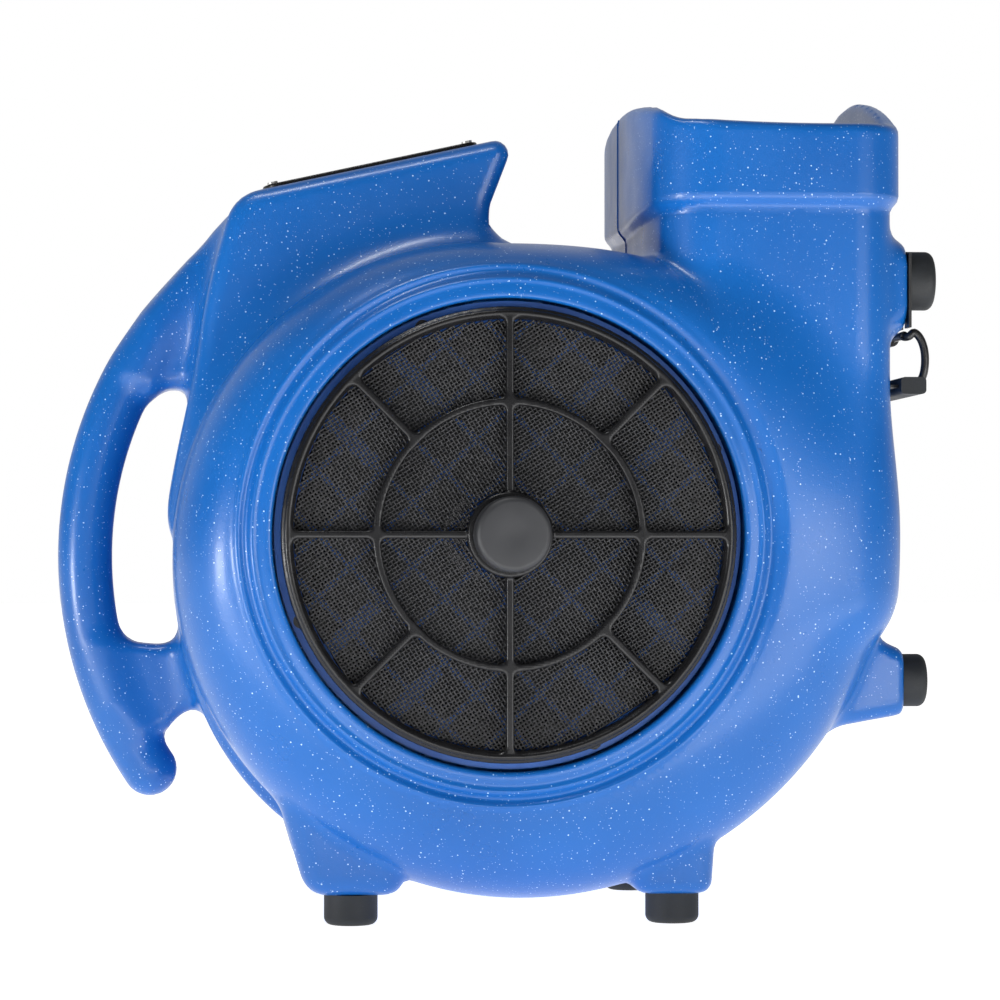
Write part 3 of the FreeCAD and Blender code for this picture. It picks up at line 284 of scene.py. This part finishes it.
def collar(x, y, z):
    """The thick band round the outlet, chamfered below."""
    rim = z - rim_height(x, y)
    low = COLLAR_Z - 8.0 * ease((115.0 - x) / 20.0) * (1 - (y / 150.0) ** 2)
    chamfer = (duct(x, y, 0) - (z - low) * 0.9) / 1.35
    return soft_common(soft_common(duct(x, y, COLLAR_OUT), rim, 6.0), chamfer, 1.6)


def outer_shape(x, y, z):
    """Everything that the housing shows outside, before it is hollowed."""
    outside = soft_union(shoulder(x, y, z), belt(x, y, z), 4.0)
    rim = z - rim_height(x, y)
    tower = soft_common(soft_common(duct(x, y, 0), rim, 3.0), -z - 50, 26.0)
    outside = soft_union(outside, tower, 9.0 + 15.0 * ease((x - 95.0) / 45.0))
    outside = soft_union(outside, control_box(x, y, z), 1.5)
    outside = soft_union(outside, handle(x, y, z), 18.0)
    outside = soft_union(outside, pedestals(x, y, z), 4.5)
    outside = soft_union(outside, side_bosses(x, y, z), 10.0)
    return soft_union(outside, collar(x, y, z), 1.2)


def inside_shape(x, y, z):
    """The air space: the scroll's and the outlet's."""
    scroll = drum(x, y, z, CREST_R, DRUM_Y - WALL, SHOULDER - WALL, WALL)
    return soft_union(scroll, np.maximum(duct(x, y, -WALL), -z), 10.0)


def inlet_seat(rho, y):
    """The ring wall and the floor round each inlet's hole."""
    cup = np.maximum(np.abs(rho - 134.4) - 2.7, np.abs(y - 152.0) - 11.0)
    floor = np.maximum(np.abs(rho - 124.8) - 11.8, np.abs(y - 143.5) - 2.5)
    return np.minimum(cup, floor)


def inlet_recess(rho, y):
    """The space that the filter sits in, and the hole in its floor."""
    seat = np.maximum(rho - INLET_R, FLOOR_Y - y)
    return np.minimum(seat, np.maximum(rho - FLOOR_HOLE_R, 138.0 - y))


def control_pocket(x, y, z):
    """The space for the controls, down to the scroll's wall, with its hatch under the panel."""
    r, _ = spiral(x, z)
    pocket = slab(outline(x, z, POCKET_SIDE), y, 70.0, 4.0)
    pocket = np.maximum(pocket, r - np.hypot(x, z))
    across, up = math.cos(PANEL_SLOPE), math.sin(PANEL_SLOPE)
    u = (x - PANEL_X) * across + (z - PANEL_Z) * up
    w = -(x - PANEL_X) * up + (z - PANEL_Z) * across
    hatch = np.maximum(np.maximum(np.abs(u), y) - HATCH_HALF, np.abs(w + 2) - 10)
    return np.minimum(pocket, hatch)


def housing_field(x, y, z):
    """The housing, symmetric about the mid-plane."""
    y = np.abs(y)
    rho = np.hypot(x, z)
    body = soft_common(outer_shape(x, y, z), -inside_shape(x, y, z), 3.0)
    body = soft_union(body, inlet_seat(rho, y), 1.0)
    body = soft_common(body, -inlet_recess(rho, y), 2.4)
    return np.maximum(body, -control_pocket(x, y, z))


def to_row(points):
    """From millimetres about the fan axis to metres in the row frame."""
    return points * MM + np.array(AXIS)


def slopes(field, points, step=0.3):
    """The field's gradient at each point."""
    grad = np.empty_like(points)
    for i in range(3):
        move = np.zeros(3)
        move[i] = step
        a, b = points + move, points - move
        grad[:, i] = field(*a.T) - field(*b.T)
    return grad / (2 * step)


def settle(field, points, turns):
    """Moves points on to the field's zero surface."""
    for _ in range(turns):
        g = slopes(field, points)
        size = np.maximum((g ** 2).sum(1), 0.05)
        points = points - np.clip(field(*points.T) / size, -2, 2)[:, None] * g
    return points


def sample(field, low, high, spacing, mirror_y=False):
    """Quads round the field's zero surface, in millimetres."""
    xs, ys, zs = (np.arange(a, b, spacing) for a, b in zip(low, high))
    gx, gy, gz = np.meshgrid(xs, ys, zs, indexing="ij")
    values = np.clip(field(gx, gy, gz), -10, 10).astype(np.float32)
    first_y = ys[0]
    if mirror_y:
        values = np.concatenate([values[:, :0:-1], values], axis=1)
        first_y = -ys[-1]
    grid = openvdb.FloatGrid(background=10.0)
    grid.copyFromArray(values)
    points, quads = grid.convertToQuads(isovalue=0.0)
    points = points * spacing + np.array([xs[0], first_y, zs[0]])
    return points, quads


def to_object(name, points, faces):
    """A smooth mesh object from millimetre points; faces all have the same number of corners."""
    mesh = bpy.data.meshes.new(name)
    faces = np.asarray(faces, np.int32)
    count, corners = faces.shape
    mesh.vertices.add(len(points))
    mesh.vertices.foreach_set("co", to_row(np.asarray(points)).astype(np.float32).ravel())
    mesh.loops.add(faces.size)
    mesh.loops.foreach_set("vertex_index", faces.ravel())
    mesh.polygons.add(count)
    mesh.polygons.foreach_set("loop_start", np.arange(count, dtype=np.int32) * corners)
    mesh.polygons.foreach_set("loop_total", np.full(count, corners, np.int32))
    mesh.update(calc_edges=True)
    mesh.validate()
    mesh.polygons.foreach_set("use_smooth", np.ones(len(mesh.polygons), bool))
    made = bpy.data.objects.new(name, mesh)
    bpy.context.scene.collection.objects.link(made)
    return made


def millimetres(mesh):
    """A mesh's vertices in millimetres about the fan axis."""
    co = np.empty(len(mesh.vertices) * 3, np.float32)
    mesh.vertices.foreach_get("co", co)
    return (co.reshape(-1, 3).astype(float) - np.array(AXIS)) / MM


def shade_by_field(mesh, field, sharp=None):
    """Normals straight from the field. Loops of faces that sharp picks keep their flat normals."""
    normals = slopes(field, millimetres(mesh))
    normals /= np.linalg.norm(normals, axis=1)[:, None] + 1e-9
    if sharp is None:
        mesh.normals_split_custom_set_from_vertices(normals)
        return
    loops = np.empty(len(mesh.loops), np.int32)
    mesh.loops.foreach_get("vertex_index", loops)
    per_loop = normals[loops]
    for face in mesh.polygons:
        if sharp(face.center):
            per_loop[face.loop_start:face.loop_start + face.loop_total] = face.normal
    mesh.normals_split_custom_set(per_loop)


def ring_band():
    """The lip and ridges round the front inlet on a fine polar grid, settled on the housing's surface."""
    turns, steps = 900, 48
    angle = np.arange(turns) * 2 * math.pi / turns
    radius = np.linspace(RING_IN, RING_OUT, steps)
    rho, a = np.meshgrid(radius, angle, indexing="ij")
    x, z = rho * np.cos(a), rho * np.sin(a)
    depth = np.full(x.shape, 172.0)
    for _ in range(60):
        depth -= np.clip(housing_field(x, depth, z), -1.5, 1.5)
    points = np.stack([x.ravel(), -depth.ravel(), z.ravel()], axis=1)
    points = settle(housing_field, points, 2)
    j, i = np.meshgrid(np.arange(steps - 1), np.arange(turns), indexing="ij")
    k = (i + 1) % turns
    corners = [j * turns + i, (j + 1) * turns + i, (j + 1) * turns + k, j * turns + k]
    return points, np.stack(corners, axis=-1).reshape(-1, 4)


def in_band(points):
    """True for surface points well inside the finely drawn band."""
    x, y, z = points.T
    y = np.abs(y)
    rho = np.hypot(x, z)
    margin = 1.5
    in_reach = (rho > RING_IN + margin) & (rho < RING_OUT - margin) & (y > FLOOR_Y + 0.5)
    return in_reach & (np.abs(housing_field(x, y, z)) < 0.6) & (shoulder(x, y, z) > -3.0)


def near_screw(centre):
    """True inside the drilled hole, where the field knows of no wall."""
    p = (np.array(centre) - np.array(AXIS)) / MM
    return math.hypot(p[0] - SCREW_X, p[2] - SCREW_Z) < SCREW_R * 0.999


def drill(made, place, radius, name):
    """Cuts a round hole along Y through a mesh."""
    bpy.ops.mesh.primitive_cylinder_add(vertices=32, radius=radius * MM, depth=0.3,
                                        location=to_row(np.array(place)), rotation=(math.pi / 2, 0, 0))
    bit = bpy.context.object
    cut = made.modifiers.new(name, "BOOLEAN")
    cut.operation, cut.solver, cut.object = "DIFFERENCE", "FAST", bit
    bpy.context.view_layer.objects.active = made
    bpy.ops.object.modifier_apply(modifier=cut.name)
    bpy.data.objects.remove(bit)


def housing_skin():
    points, quads = sample(housing_field, (-262, 0, -226), (262, 175, 272), GRID, mirror_y=True)
    points = settle(housing_field, points, 3)
    quads = quads[~in_band(points)[quads].all(1)]
    front, front_quads = ring_band()
    rear = front * np.array([1, -1, 1])
    start = len(points)
    quads = np.concatenate([quads, front_quads + start, front_quads[:, ::-1] + start + len(front)])
    made = to_object("housing_skin", np.concatenate([points, front, rear]), quads)
    drill(made, (SCREW_X, 0, SCREW_Z), SCREW_R, "screw_hole")
    shade_by_field(made.data, housing_field, near_screw)
    return made


# ---------------------------------------------------------------- filters

def filter_field(x, y, z):
    """Front filter frame; y is the depth from the mid-plane towards the front."""
    rho = np.hypot(x, z)
    spokes = None
    for i in range(8):
        a = math.radians(45 * i)
        along, across = x * math.cos(a) + z * math.sin(a), -x * math.sin(a) + z * math.cos(a)
        start = 0 if i % 2 == 0 else RING_R
        one = np.maximum(np.abs(across) - RIB_HALF, start - along)
        spokes = one if spokes is None else np.minimum(spokes, one)
    plan = soft_union(spokes, np.abs(rho - RING_R) - RIB_HALF, 4.0)
    plan = soft_union(plan, FRAME_R - 2.5 - rho, 5.0)
    plan = np.maximum(plan, rho - FRAME_R)
    web = slab(plan, np.abs(y - 166.4), 3.5, 1.1)
    rim = slab(np.abs(rho - 123.5) - 3.4, np.abs(y - 162.8), 5.8, 1.6)
    lip = slab(np.abs(rho - 123.6) - 1.1, np.abs(y - 167.0), 2.9, 0.9)
    hub = slab(rho - 23.8, np.abs(y - 164.5), 7.4, 1.5)
    made = soft_union(soft_union(web, rim, 1.5), soft_union(lip, hub, 1.0), 1.2)
    return np.maximum(made, 4.3 - rho)


def filter_frames():
    """The front and the rear frame, from one sampling."""
    points, quads = sample(filter_field, (-128.5, 155.5, -128.5), (128.6, 174, 128.6), 1.15)
    points = settle(filter_field, points, 3)
    front = to_object("filter_frame_skin_front", points * np.array([1, -1, 1]), quads[:, ::-1])
    shade_by_field(front.data, lambda x, y, z: filter_field(x, -y, z))
    rear = to_object("filter_frame_skin_rear", points, quads)
    shade_by_field(rear.data, filter_field)
    return front, rear


def turned_about(points):
    """Half a turn about the vertical through the fan axis: front to rear."""
    return points * np.array([-1, -1, 1])


def strands(radius, hole, pitch, direction):
    """Each strand's offset and its crossings, as (place along it, 1 over or -1 under)."""
    count = int(2 * radius / pitch)
    for i in range(count + 1):
        offset = -radius + i * pitch
        for run in ((-1,) if abs(offset) >= hole else (-1, 1)):
            crossings = []
            for k in range(count + 1):
                t = -radius + k * pitch
                rho = math.hypot(offset, t)
                if hole < rho < radius and (abs(offset) >= hole or t * run > 0):
                    crossings.append((t, 1 if (i + k + direction) % 2 else -1))
            if len(crossings) > 1:
                yield offset, crossings


def woven(radius, hole, pitch, depth):
    """Black woven netting: flat strands that go over and under each other."""
    section = ((-0.6, 0.0), (0.0, 0.24), (0.6, 0.0), (0.0, -0.24))
    across, up = math.cos(math.radians(32)), math.sin(math.radians(32))
    points, quads = [], []
    for direction in (0, 1):
        for offset, crossings in strands(radius, hole, pitch, direction):
            first = len(points)
            for t, side in crossings:
                y = depth + 0.28 * side
                for da, dy in section:
                    a, b = (t, offset + da) if direction == 0 else (offset + da, t)
                    points.append((a * across - b * up, -(y + dy), a * up + b * across))
            for n in range(len(crossings) - 1):
                for c in range(4):
                    p, q = first + 4 * n + c, first + 4 * n + (c + 1) % 4
                    quads.append((p, q, q + 4, p + 4))
    return np.array(points), np.array(quads)


# ---------------------------------------------------------------- turned and bent pieces

def lathe(profile, turns=96):
    """Points and quads of a body turned about Y through the fan axis, from (radius, depth)."""
    points, quads = [], []
    for r, y in profile:
        for i in range(turns):
            a = 2 * math.pi * i / turns
            points.append((r * math.cos(a), -y, r * math.sin(a)))
    for j in range(len(profile) - 1):
        for i in range(turns):
            k = (i + 1) % turns
            quads.append((j * turns + i, j * turns + k, (j + 1) * turns + k, (j + 1) * turns + i))
    return np.array(points, float), np.array(quads)


def sweep(path, r, sides=12):
    """Points and quads of a round bar along a path, with closed ends."""
    path = np.array(path, float)
    along = np.gradient(path, axis=0)
    along /= np.linalg.norm(along, axis=1)[:, None]
    across = np.cross(along[0], (0.3, 0.2, 0.9))
    points = []
    for place, way in zip(path, along):
        across = across - way * (across @ way)
        across /= np.linalg.norm(across)
        other = np.cross(way, across)
        for i in range(sides):
            a = 2 * math.pi * i / sides
            points.append(place + r * (math.cos(a) * across + math.sin(a) * other))
    quads = []
    for j in range(len(path) - 1):
        for i in range(sides):
            k = (i + 1) % sides
            quads.append((j * sides + i, j * sides + k, (j + 1) * sides + k, (j + 1) * sides + i))
    half = sides // 2
    for first, turn in ((0, -1), ((len(path) - 1) * sides, 1)):
        for i in range(half - 1):
            ring = (first + i, first + i + 1, first + sides - 2 - i, first + sides - 1 - i)
            quads.append(ring[::turn])
    return np.array(points), np.array(quads)


def smooth_path(corners, steps):
    """A flowing path through the corners."""
    corners = [np.array(c, float) for c in corners]
    ends = [2 * corners[0] - corners[1]] + corners + [2 * corners[-1] - corners[-2]]
    made = []
    for a, b, c, d in zip(ends, ends[1:], ends[2:], ends[3:]):
        for i in range(steps):
            t = i / steps
            made.append(0.5 * (2 * b + (c - a) * t + (2 * a - 5 * b + 4 * c - d) * t * t
                               + (3 * b - a - 3 * c + d) * t ** 3))
    return made + [corners[-1]]


def bail_path():
    """The clamp's wire: one arm, the hinge bar and the other arm."""
    arm = [(241.0, 99.0, 86.8), (243.6, 102.0, 89.6), (245.4, 103.0, 94.0), (246.2, 103.0, 101.0),
           (245.6, 103.0, 108.0), (243.4, 103.0, 114.0), (239.9, 103.0, 117.4), (236.9, 102.6, 115.2),
           (234.6, 100.0, 115.0), (HINGE_X, 95.0, HINGE_Z), (HINGE_X, 88.0, HINGE_Z)]
    near = [(x, -y, z) for x, y, z in arm]
    return smooth_path(near + arm[::-1], 5)


def spring_path():
    """A closed coil round the hinge bar, with a leg that rests on the plate."""
    coil = []
    for i in range(16 * COIL_TURNS + 1):
        a = 2 * math.pi * i / 16
        coil.append((HINGE_X + COIL_R * math.cos(a), -13.6 + COIL_PITCH * i / 16,
                     HINGE_Z + COIL_R * math.sin(a)))
    x, y, z = coil[-1]
    return coil + [(x, y + 0.2, z + 3.0), (x - 1.0, y + 0.2, z + 8.0), (x - 1.6, y + 0.2, z + 13.0)]


def arc(centre, r, start, end, steps):
    """Points on part of a circle, as (a, b) pairs; angles in degrees."""
    made = []
    for i in range(steps + 1):
        a = math.radians(start + (end - start) * i / steps)
        made.append((centre[0] + r * math.cos(a), centre[1] + r * math.sin(a)))
    return made


def seam_path():
    """Runs down the outside of the outlet's left wall at the mid-plane, from the rim to the scroll."""
    heights = np.arange(251.0, 150.0, -2.5)
    start = np.stack([np.full(heights.shape, SEAM_X), 0 * heights, heights], axis=1)
    return settle(housing_field, start, 12) - np.array([0.1, 0, 0])


def knob_profile():
    face = [(0.01, 195.2), (3.0, 195.25), (6.0, 195.4), (8.5, 195.6), (14.0, 195.6)]
    edge = arc((17.4, 191.9), 3.6, 90, 0, 8)
    side = [(21.1, 190.5), (21.1, 176.0)] + arc((19.6, 175.6), 1.5, 0, -90, 4)
    return face + edge + side + [(10.0, 174.1), (10.0, 172.2)]


# ---------------------------------------------------------------- materials

class Graph:
    """A small helper for building shader graphs."""

    def __init__(self, name):
        self.material = bpy.data.materials.new(name)
        self.material.use_nodes = True
        self.tree = self.material.node_tree
        self.shader = self.tree.nodes["Principled BSDF"]
        self.place = self.tree.nodes.new("ShaderNodeTexCoord").outputs["Object"]

    def node(self, kind, **values):
        """A new shader node with the given settings."""
        made = self.tree.nodes.new("ShaderNode" + kind)
        for name, value in values.items():
            setattr(made, name, value)
        return made

    def feed(self, node, **values):
        """Sets or links a node's inputs by name, with _ for a space."""
        for name, value in values.items():
            socket = node.inputs[name.replace("_", " ")]
            if isinstance(value, bpy.types.NodeSocket):
                self.tree.links.new(value, socket)
            else:
                socket.default_value = value
        return node

    def noise(self, scale, detail=3.0, rough=0.5, stretch=None):
        place = self.place
        if stretch is not None:
            place = self.feed(self.node("Mapping"), Vector=place, Scale=stretch).outputs["Vector"]
        made = self.node("TexNoise")
        self.feed(made, Vector=place, Scale=scale, Detail=detail, Roughness=rough)
        return made.outputs["Fac"]

    def spots(self, scale, size, soft):
        """1 inside small round spots scattered in space, 0 outside. Sizes are in cells."""
        cells = self.node("TexVoronoi")
        self.feed(cells, Vector=self.place, Scale=scale)
        split = self.feed(self.node("SeparateColor"), Color=cells.outputs["Color"])
        reach = self.span(split.outputs["Red"], 0.0, 1.0, size * 0.25, size)
        gap = self.math("SUBTRACT", reach, cells.outputs["Distance"])
        return self.span(gap, 0.0, soft, 0.0, 1.0)

    def span(self, value, low, high, start, end):
        """Maps low..high to start..end, clamped."""
        made = self.node("MapRange")
        self.tree.links.new(value, made.inputs["Value"])
        for name, number in (("From Min", low), ("From Max", high), ("To Min", start), ("To Max", end)):
            made.inputs[name].default_value = number
        return made.outputs["Result"]

    def math(self, kind, a, b):
        made = self.node("Math", operation=kind)
        for socket, value in zip(made.inputs, (a, b)):
            if isinstance(value, (int, float)):
                socket.default_value = value
            else:
                self.tree.links.new(value, socket)
        return made.outputs["Value"]

    def blend(self, factor, a, b):
        """Colour a where factor is 0 and b where it is 1."""
        ramp = self.node("ValToRGB")
        self.tree.links.new(factor, ramp.inputs["Fac"])
        ramp.color_ramp.elements[0].color = (*a, 1)
        ramp.color_ramp.elements[1].color = (*b, 1)
        return ramp.outputs["Color"]

    def over(self, factor, under, colour):
        """A colour laid over another where factor is 1."""
        made = self.node("Mix", data_type="RGBA")
        self.tree.links.new(factor, made.inputs[0])
        self.tree.links.new(under, made.inputs[6])
        self.tree.links.new(colour, made.inputs[7])
        return made.outputs[2]

    def bump(self, *layers):
        """Layers are (height, strength, distance in metres)."""
        normal = None
        for height, strength, distance in layers:
            made = self.feed(self.node("Bump"), Height=height, Strength=strength, Distance=distance)
            if normal is not None:
                self.tree.links.new(normal, made.inputs["Normal"])
            normal = made.outputs["Normal"]
        self.tree.links.new(normal, self.shader.inputs["Normal"])


def blue_plastic():
    g = Graph("blue_plastic")
    cloud = g.noise(9.0, 3.0)
    base = g.blend(g.span(cloud, 0.3, 0.7, 0.0, 1.0), (0.003, 0.104, 0.40), (0.005, 0.132, 0.48))
    flecks = g.spots(330.0, 0.18, 0.05)
    dust = g.spots(540.0, 0.2, 0.06)
    pale = g.blend(g.noise(60.0), (0.30, 0.52, 0.88), (0.66, 0.82, 1.0))
    both = g.math("MAXIMUM", flecks, g.math("MULTIPLY", dust, 0.5))
    g.feed(g.shader, Base_Color=g.over(both, base, pale),
           Roughness=g.span(g.noise(35.0, 4.0), 0.3, 0.7, 0.27, 0.36), IOR=1.5,
           Specular_IOR_Level=0.4, Coat_Weight=0.25, Coat_Roughness=0.16)
    g.bump((g.noise(420.0, 2.0), 0.12, 0.0006), (g.noise(1500.0, 2.0), 0.2, 0.0003))
    return g.material


def plastic(name, dark, light, rough, grain=900.0, depth=0.15, spec=0.5):
    g = Graph(name)
    g.feed(g.shader, Base_Color=g.blend(g.span(g.noise(40.0, 5.0), 0.3, 0.7, 0.0, 1.0), dark, light),
           Roughness=g.span(g.noise(120.0, 4.0), 0.3, 0.7, rough - 0.05, rough + 0.07),
           Specular_IOR_Level=spec)
    g.bump((g.noise(grain, 2.0), depth, 0.0003))
    return g.material


def rubber():
    g = Graph("rubber")
    wear = g.noise(55.0, 6.0, 0.6)
    dusty = g.spots(900.0, 0.25, 0.1)
    base = g.blend(g.span(wear, 0.35, 0.7, 0.0, 1.0), (0.010, 0.012, 0.014), (0.018, 0.021, 0.024))
    pale = g.blend(g.noise(90.0), (0.04, 0.045, 0.05), (0.07, 0.075, 0.08))
    g.feed(g.shader, Base_Color=g.over(g.math("MULTIPLY", dusty, 0.35), base, pale),
           Roughness=g.span(wear, 0.3, 0.7, 0.55, 0.75))
    g.bump((g.noise(700.0, 3.0), 0.25, 0.0003))
    return g.material


def metal(name, dark, light, rough, grain=(300.0, 300.0, 300.0), streak=0.1):
    g = Graph(name)
    lines = g.noise(1.0, 4.0, 0.6, stretch=grain)
    cloud = g.noise(50.0, 5.0)
    g.feed(g.shader, Base_Color=g.blend(g.span(cloud, 0.3, 0.7, 0.0, 1.0), dark, light), Metallic=1.0,
           Roughness=g.span(lines, 0.3, 0.7, rough - 0.08, rough + 0.1))
    g.bump((lines, streak, 0.0002))
    return g.material


def painted(name, dark, light, rough):
    g = Graph(name)
    chips = g.noise(180.0, 6.0, 0.65)
    g.feed(g.shader, Base_Color=g.blend(g.span(chips, 0.35, 0.68, 0.0, 1.0), dark, light),
           Roughness=g.span(chips, 0.3, 0.7, rough - 0.06, rough + 0.08), Coat_Weight=0.15)
    g.bump((g.noise(1100.0, 3.0), 0.12, 0.0003))
    return g.material


def netting():
    g = Graph("filter_mesh")
    g.feed(g.shader, Base_Color=g.blend(g.span(g.noise(700.0, 2.0), 0.4, 0.62, 0.0, 1.0),
                                        (0.004, 0.004, 0.005), (0.03, 0.03, 0.033)),
           Roughness=g.span(g.noise(1300.0, 2.0), 0.3, 0.7, 0.22, 0.5), Specular_IOR_Level=0.7)
    g.bump((g.noise(2200.0, 2.0), 0.5, 0.0003))
    return g.material


MAKERS = {
    "blue_plastic": blue_plastic,
    "guard_plastic": lambda: plastic("guard_plastic", (0.012, 0.09, 0.4), (0.02, 0.13, 0.5), 0.42),
    "black_plastic": lambda: plastic("black_plastic", (0.005, 0.005, 0.006), (0.009, 0.009, 0.010), 0.26,
                                     700.0, 0.05, 0.4),
    "knob_plastic": lambda: plastic("knob_plastic", (0.022, 0.023, 0.026), (0.031, 0.032, 0.036), 0.5,
                                    1600.0, 0.12),
    "filter_mesh": netting,
    "button_red": lambda: plastic("button_red", (0.4, 0.012, 0.01), (0.52, 0.02, 0.016), 0.35),
    "wheel_plastic": lambda: plastic("wheel_plastic", (0.016, 0.016, 0.018), (0.028, 0.028, 0.03), 0.5),
    "rubber": rubber,
    "zinc_steel": lambda: metal("zinc_steel", (0.5, 0.5, 0.5), (0.66, 0.65, 0.6), 0.35),
    "brass": lambda: metal("brass", (0.52, 0.36, 0.14), (0.72, 0.53, 0.24), 0.32),
    "motor_paint": lambda: painted("motor_paint", (0.018, 0.018, 0.02), (0.04, 0.04, 0.043), 0.4),
    "cast_aluminium": lambda: metal("cast_aluminium", (0.45, 0.45, 0.45), (0.6, 0.6, 0.6), 0.5,
                                    (700.0, 700.0, 700.0), 0.35),
    "bright_steel": lambda: metal("bright_steel", (0.55, 0.55, 0.56), (0.7, 0.7, 0.71), 0.22,
                                  (60.0, 1500.0, 60.0)),
    "lamination": lambda: metal("lamination", (0.22, 0.22, 0.24), (0.34, 0.34, 0.36), 0.42,
                                (3.0, 1700.0, 3.0), 0.6),
    "copper_winding": lambda: metal("copper_winding", (0.45, 0.13, 0.05), (0.68, 0.26, 0.11), 0.3,
                                    (250.0, 1400.0, 250.0), 0.6),
    "can_metal": lambda: metal("can_metal", (0.6, 0.6, 0.61), (0.75, 0.75, 0.76), 0.28, (40.0, 900.0, 900.0)),
    "black_steel": lambda: painted("black_steel", (0.007, 0.007, 0.008), (0.014, 0.014, 0.015), 0.33),
}
FINISH = {name: make() for name, make in MAKERS.items()}
SLOT_OF = {part["node"]: part["material_slot"] for part in frame["record"]["subparts"]}


def dress(made, slot):
    made.data.materials.clear()
    made.data.materials.append(FINISH[slot])


def place(made, body, slot, node=None):
    """Lets a piece ride on a body, in the place of a CAD node if one is named."""
    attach(made, body)
    if node is not None:
        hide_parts(node)
    dress(made, slot)


# ---------------------------------------------------------------- pieces

place(housing_skin(), "body", "blue_plastic", "housing")

for made, name in zip(filter_frames(), ("front", "rear")):
    place(made, name + "_filter", "black_plastic", "filter_frame_" + name)

net_points, net_quads = woven(NET_R, NET_HOLE, NET_PITCH, NET_Y)
knob_points, knob_quads = lathe(knob_profile())
for name, turn in (("front", lambda points: points), ("rear", turned_about)):
    net = to_object("filter_net_" + name, turn(net_points), net_quads)
    place(net, name + "_filter", "filter_mesh", "filter_mesh_" + name)
    knob = to_object("filter_grip_" + name, turn(knob_points), knob_quads)
    place(knob, name + "_filter_knob", "knob_plastic", "filter_knob_" + name)

place(to_object("clamp_wire", *sweep(bail_path(), BAIL_R)), "carpet_clamp", "black_steel", "clamp_bail")
place(to_object("clamp_coil", *sweep(spring_path(), COIL_WIRE)), "body", "black_steel", "clamp_spring")
place(to_object("parting_seam", *sweep(seam_path(), SEAM_R, 8)), "body", "blue_plastic")

for node in frame["nodes"].values():
    dress(node, SLOT_OF[node.name])

# ---------------------------------------------------------------- floor, light and camera

def studio():
    """A sky brighter towards the rear, which the camera itself sees as plain white."""
    world = bpy.data.worlds.new("studio")
    bpy.context.scene.world = world
    world.use_nodes = True
    tree = world.node_tree
    sky = tree.nodes["Background"]
    sky.inputs["Color"].default_value = (1.0, 1.0, 1.0, 1.0)
    toward = tree.nodes.new("ShaderNodeTexCoord")
    parts = tree.nodes.new("ShaderNodeSeparateXYZ")
    bright = tree.nodes.new("ShaderNodeMapRange")
    for name, number in (("From Min", 0.1), ("From Max", 0.8), ("To Min", 0.10), ("To Max", 0.55)):
        bright.inputs[name].default_value = number
    seen = tree.nodes.new("ShaderNodeLightPath")
    either = tree.nodes.new("ShaderNodeMath")
    either.operation = "MAXIMUM"
    for start, end in ((toward.outputs["Generated"], parts.inputs["Vector"]),
                       (parts.outputs["Y"], bright.inputs["Value"]),
                       (bright.outputs["Result"], either.inputs[0]),
                       (seen.outputs["Is Camera Ray"], either.inputs[1]),
                       (either.outputs["Value"], sky.inputs["Strength"])):
        tree.links.new(start, end)


def pale_floor():
    """A white floor that also glows, so that it stays white under the object."""
    g = Graph("pale_floor")
    g.feed(g.shader, Base_Color=g.blend(g.noise(2.0), (0.86, 0.86, 0.86), (0.88, 0.88, 0.88)), Roughness=0.6,
           Emission_Color=(1.0, 1.0, 1.0, 1.0), Emission_Strength=0.95)
    bpy.ops.mesh.primitive_plane_add(size=30, location=(0, 0, 0))
    ground = bpy.context.object
    ground.name = "ground"
    ground.data.materials.append(g.material)
    return ground


def softbox(name, place, target, size, power):
    data = bpy.data.lights.new(name, "AREA")
    data.shape = "RECTANGLE"
    data.size, data.size_y = size
    data.energy = power
    lamp = bpy.data.objects.new(name, data)
    lamp.location = place
    lamp.rotation_mode = "QUATERNION"
    lamp.rotation_quaternion = (Vector(target) - Vector(place)).to_track_quat("-Z", "Y")
    lamp.visible_camera = False
    bpy.context.scene.collection.objects.link(lamp)


def aim_camera(place, target, lens):
    """Place and target are millimetres about the fan axis."""
    data = bpy.data.cameras.new("camera")
    data.lens = lens
    data.sensor_width = 36.0
    eye = bpy.data.objects.new("camera", data)
    at = Vector(place) * MM + AXIS
    eye.location = at
    eye.rotation_mode = "QUATERNION"
    eye.rotation_quaternion = (Vector(target) * MM + AXIS - at).to_track_quat("-Z", "Y")
    bpy.context.scene.collection.objects.link(eye)
    bpy.context.scene.camera = eye


studio()
pale_floor()
softbox("strip", (0.0, -0.5, 0.01), (0.0, -0.4, 1.0), (1.6, 0.4), 5.0)
softbox("left", (-1.3, -0.75, 0.12), (0, 0, 0.15), (0.3, 0.2), 6.0)
softbox("right", (1.2, -1.75, 0.2), (0, 0, 0.25), (1.2, 0.5), 9.5)
softbox("overhead", (-0.35, -0.45, 1.6), (0, 0, 0.2), (0.7, 0.12), 6.5)

bpy.context.scene.view_settings.view_transform = "Standard"
aim_camera((-172.6, -2193.2, -14.0), (8.2, 0.0, 22.0), 132.0)
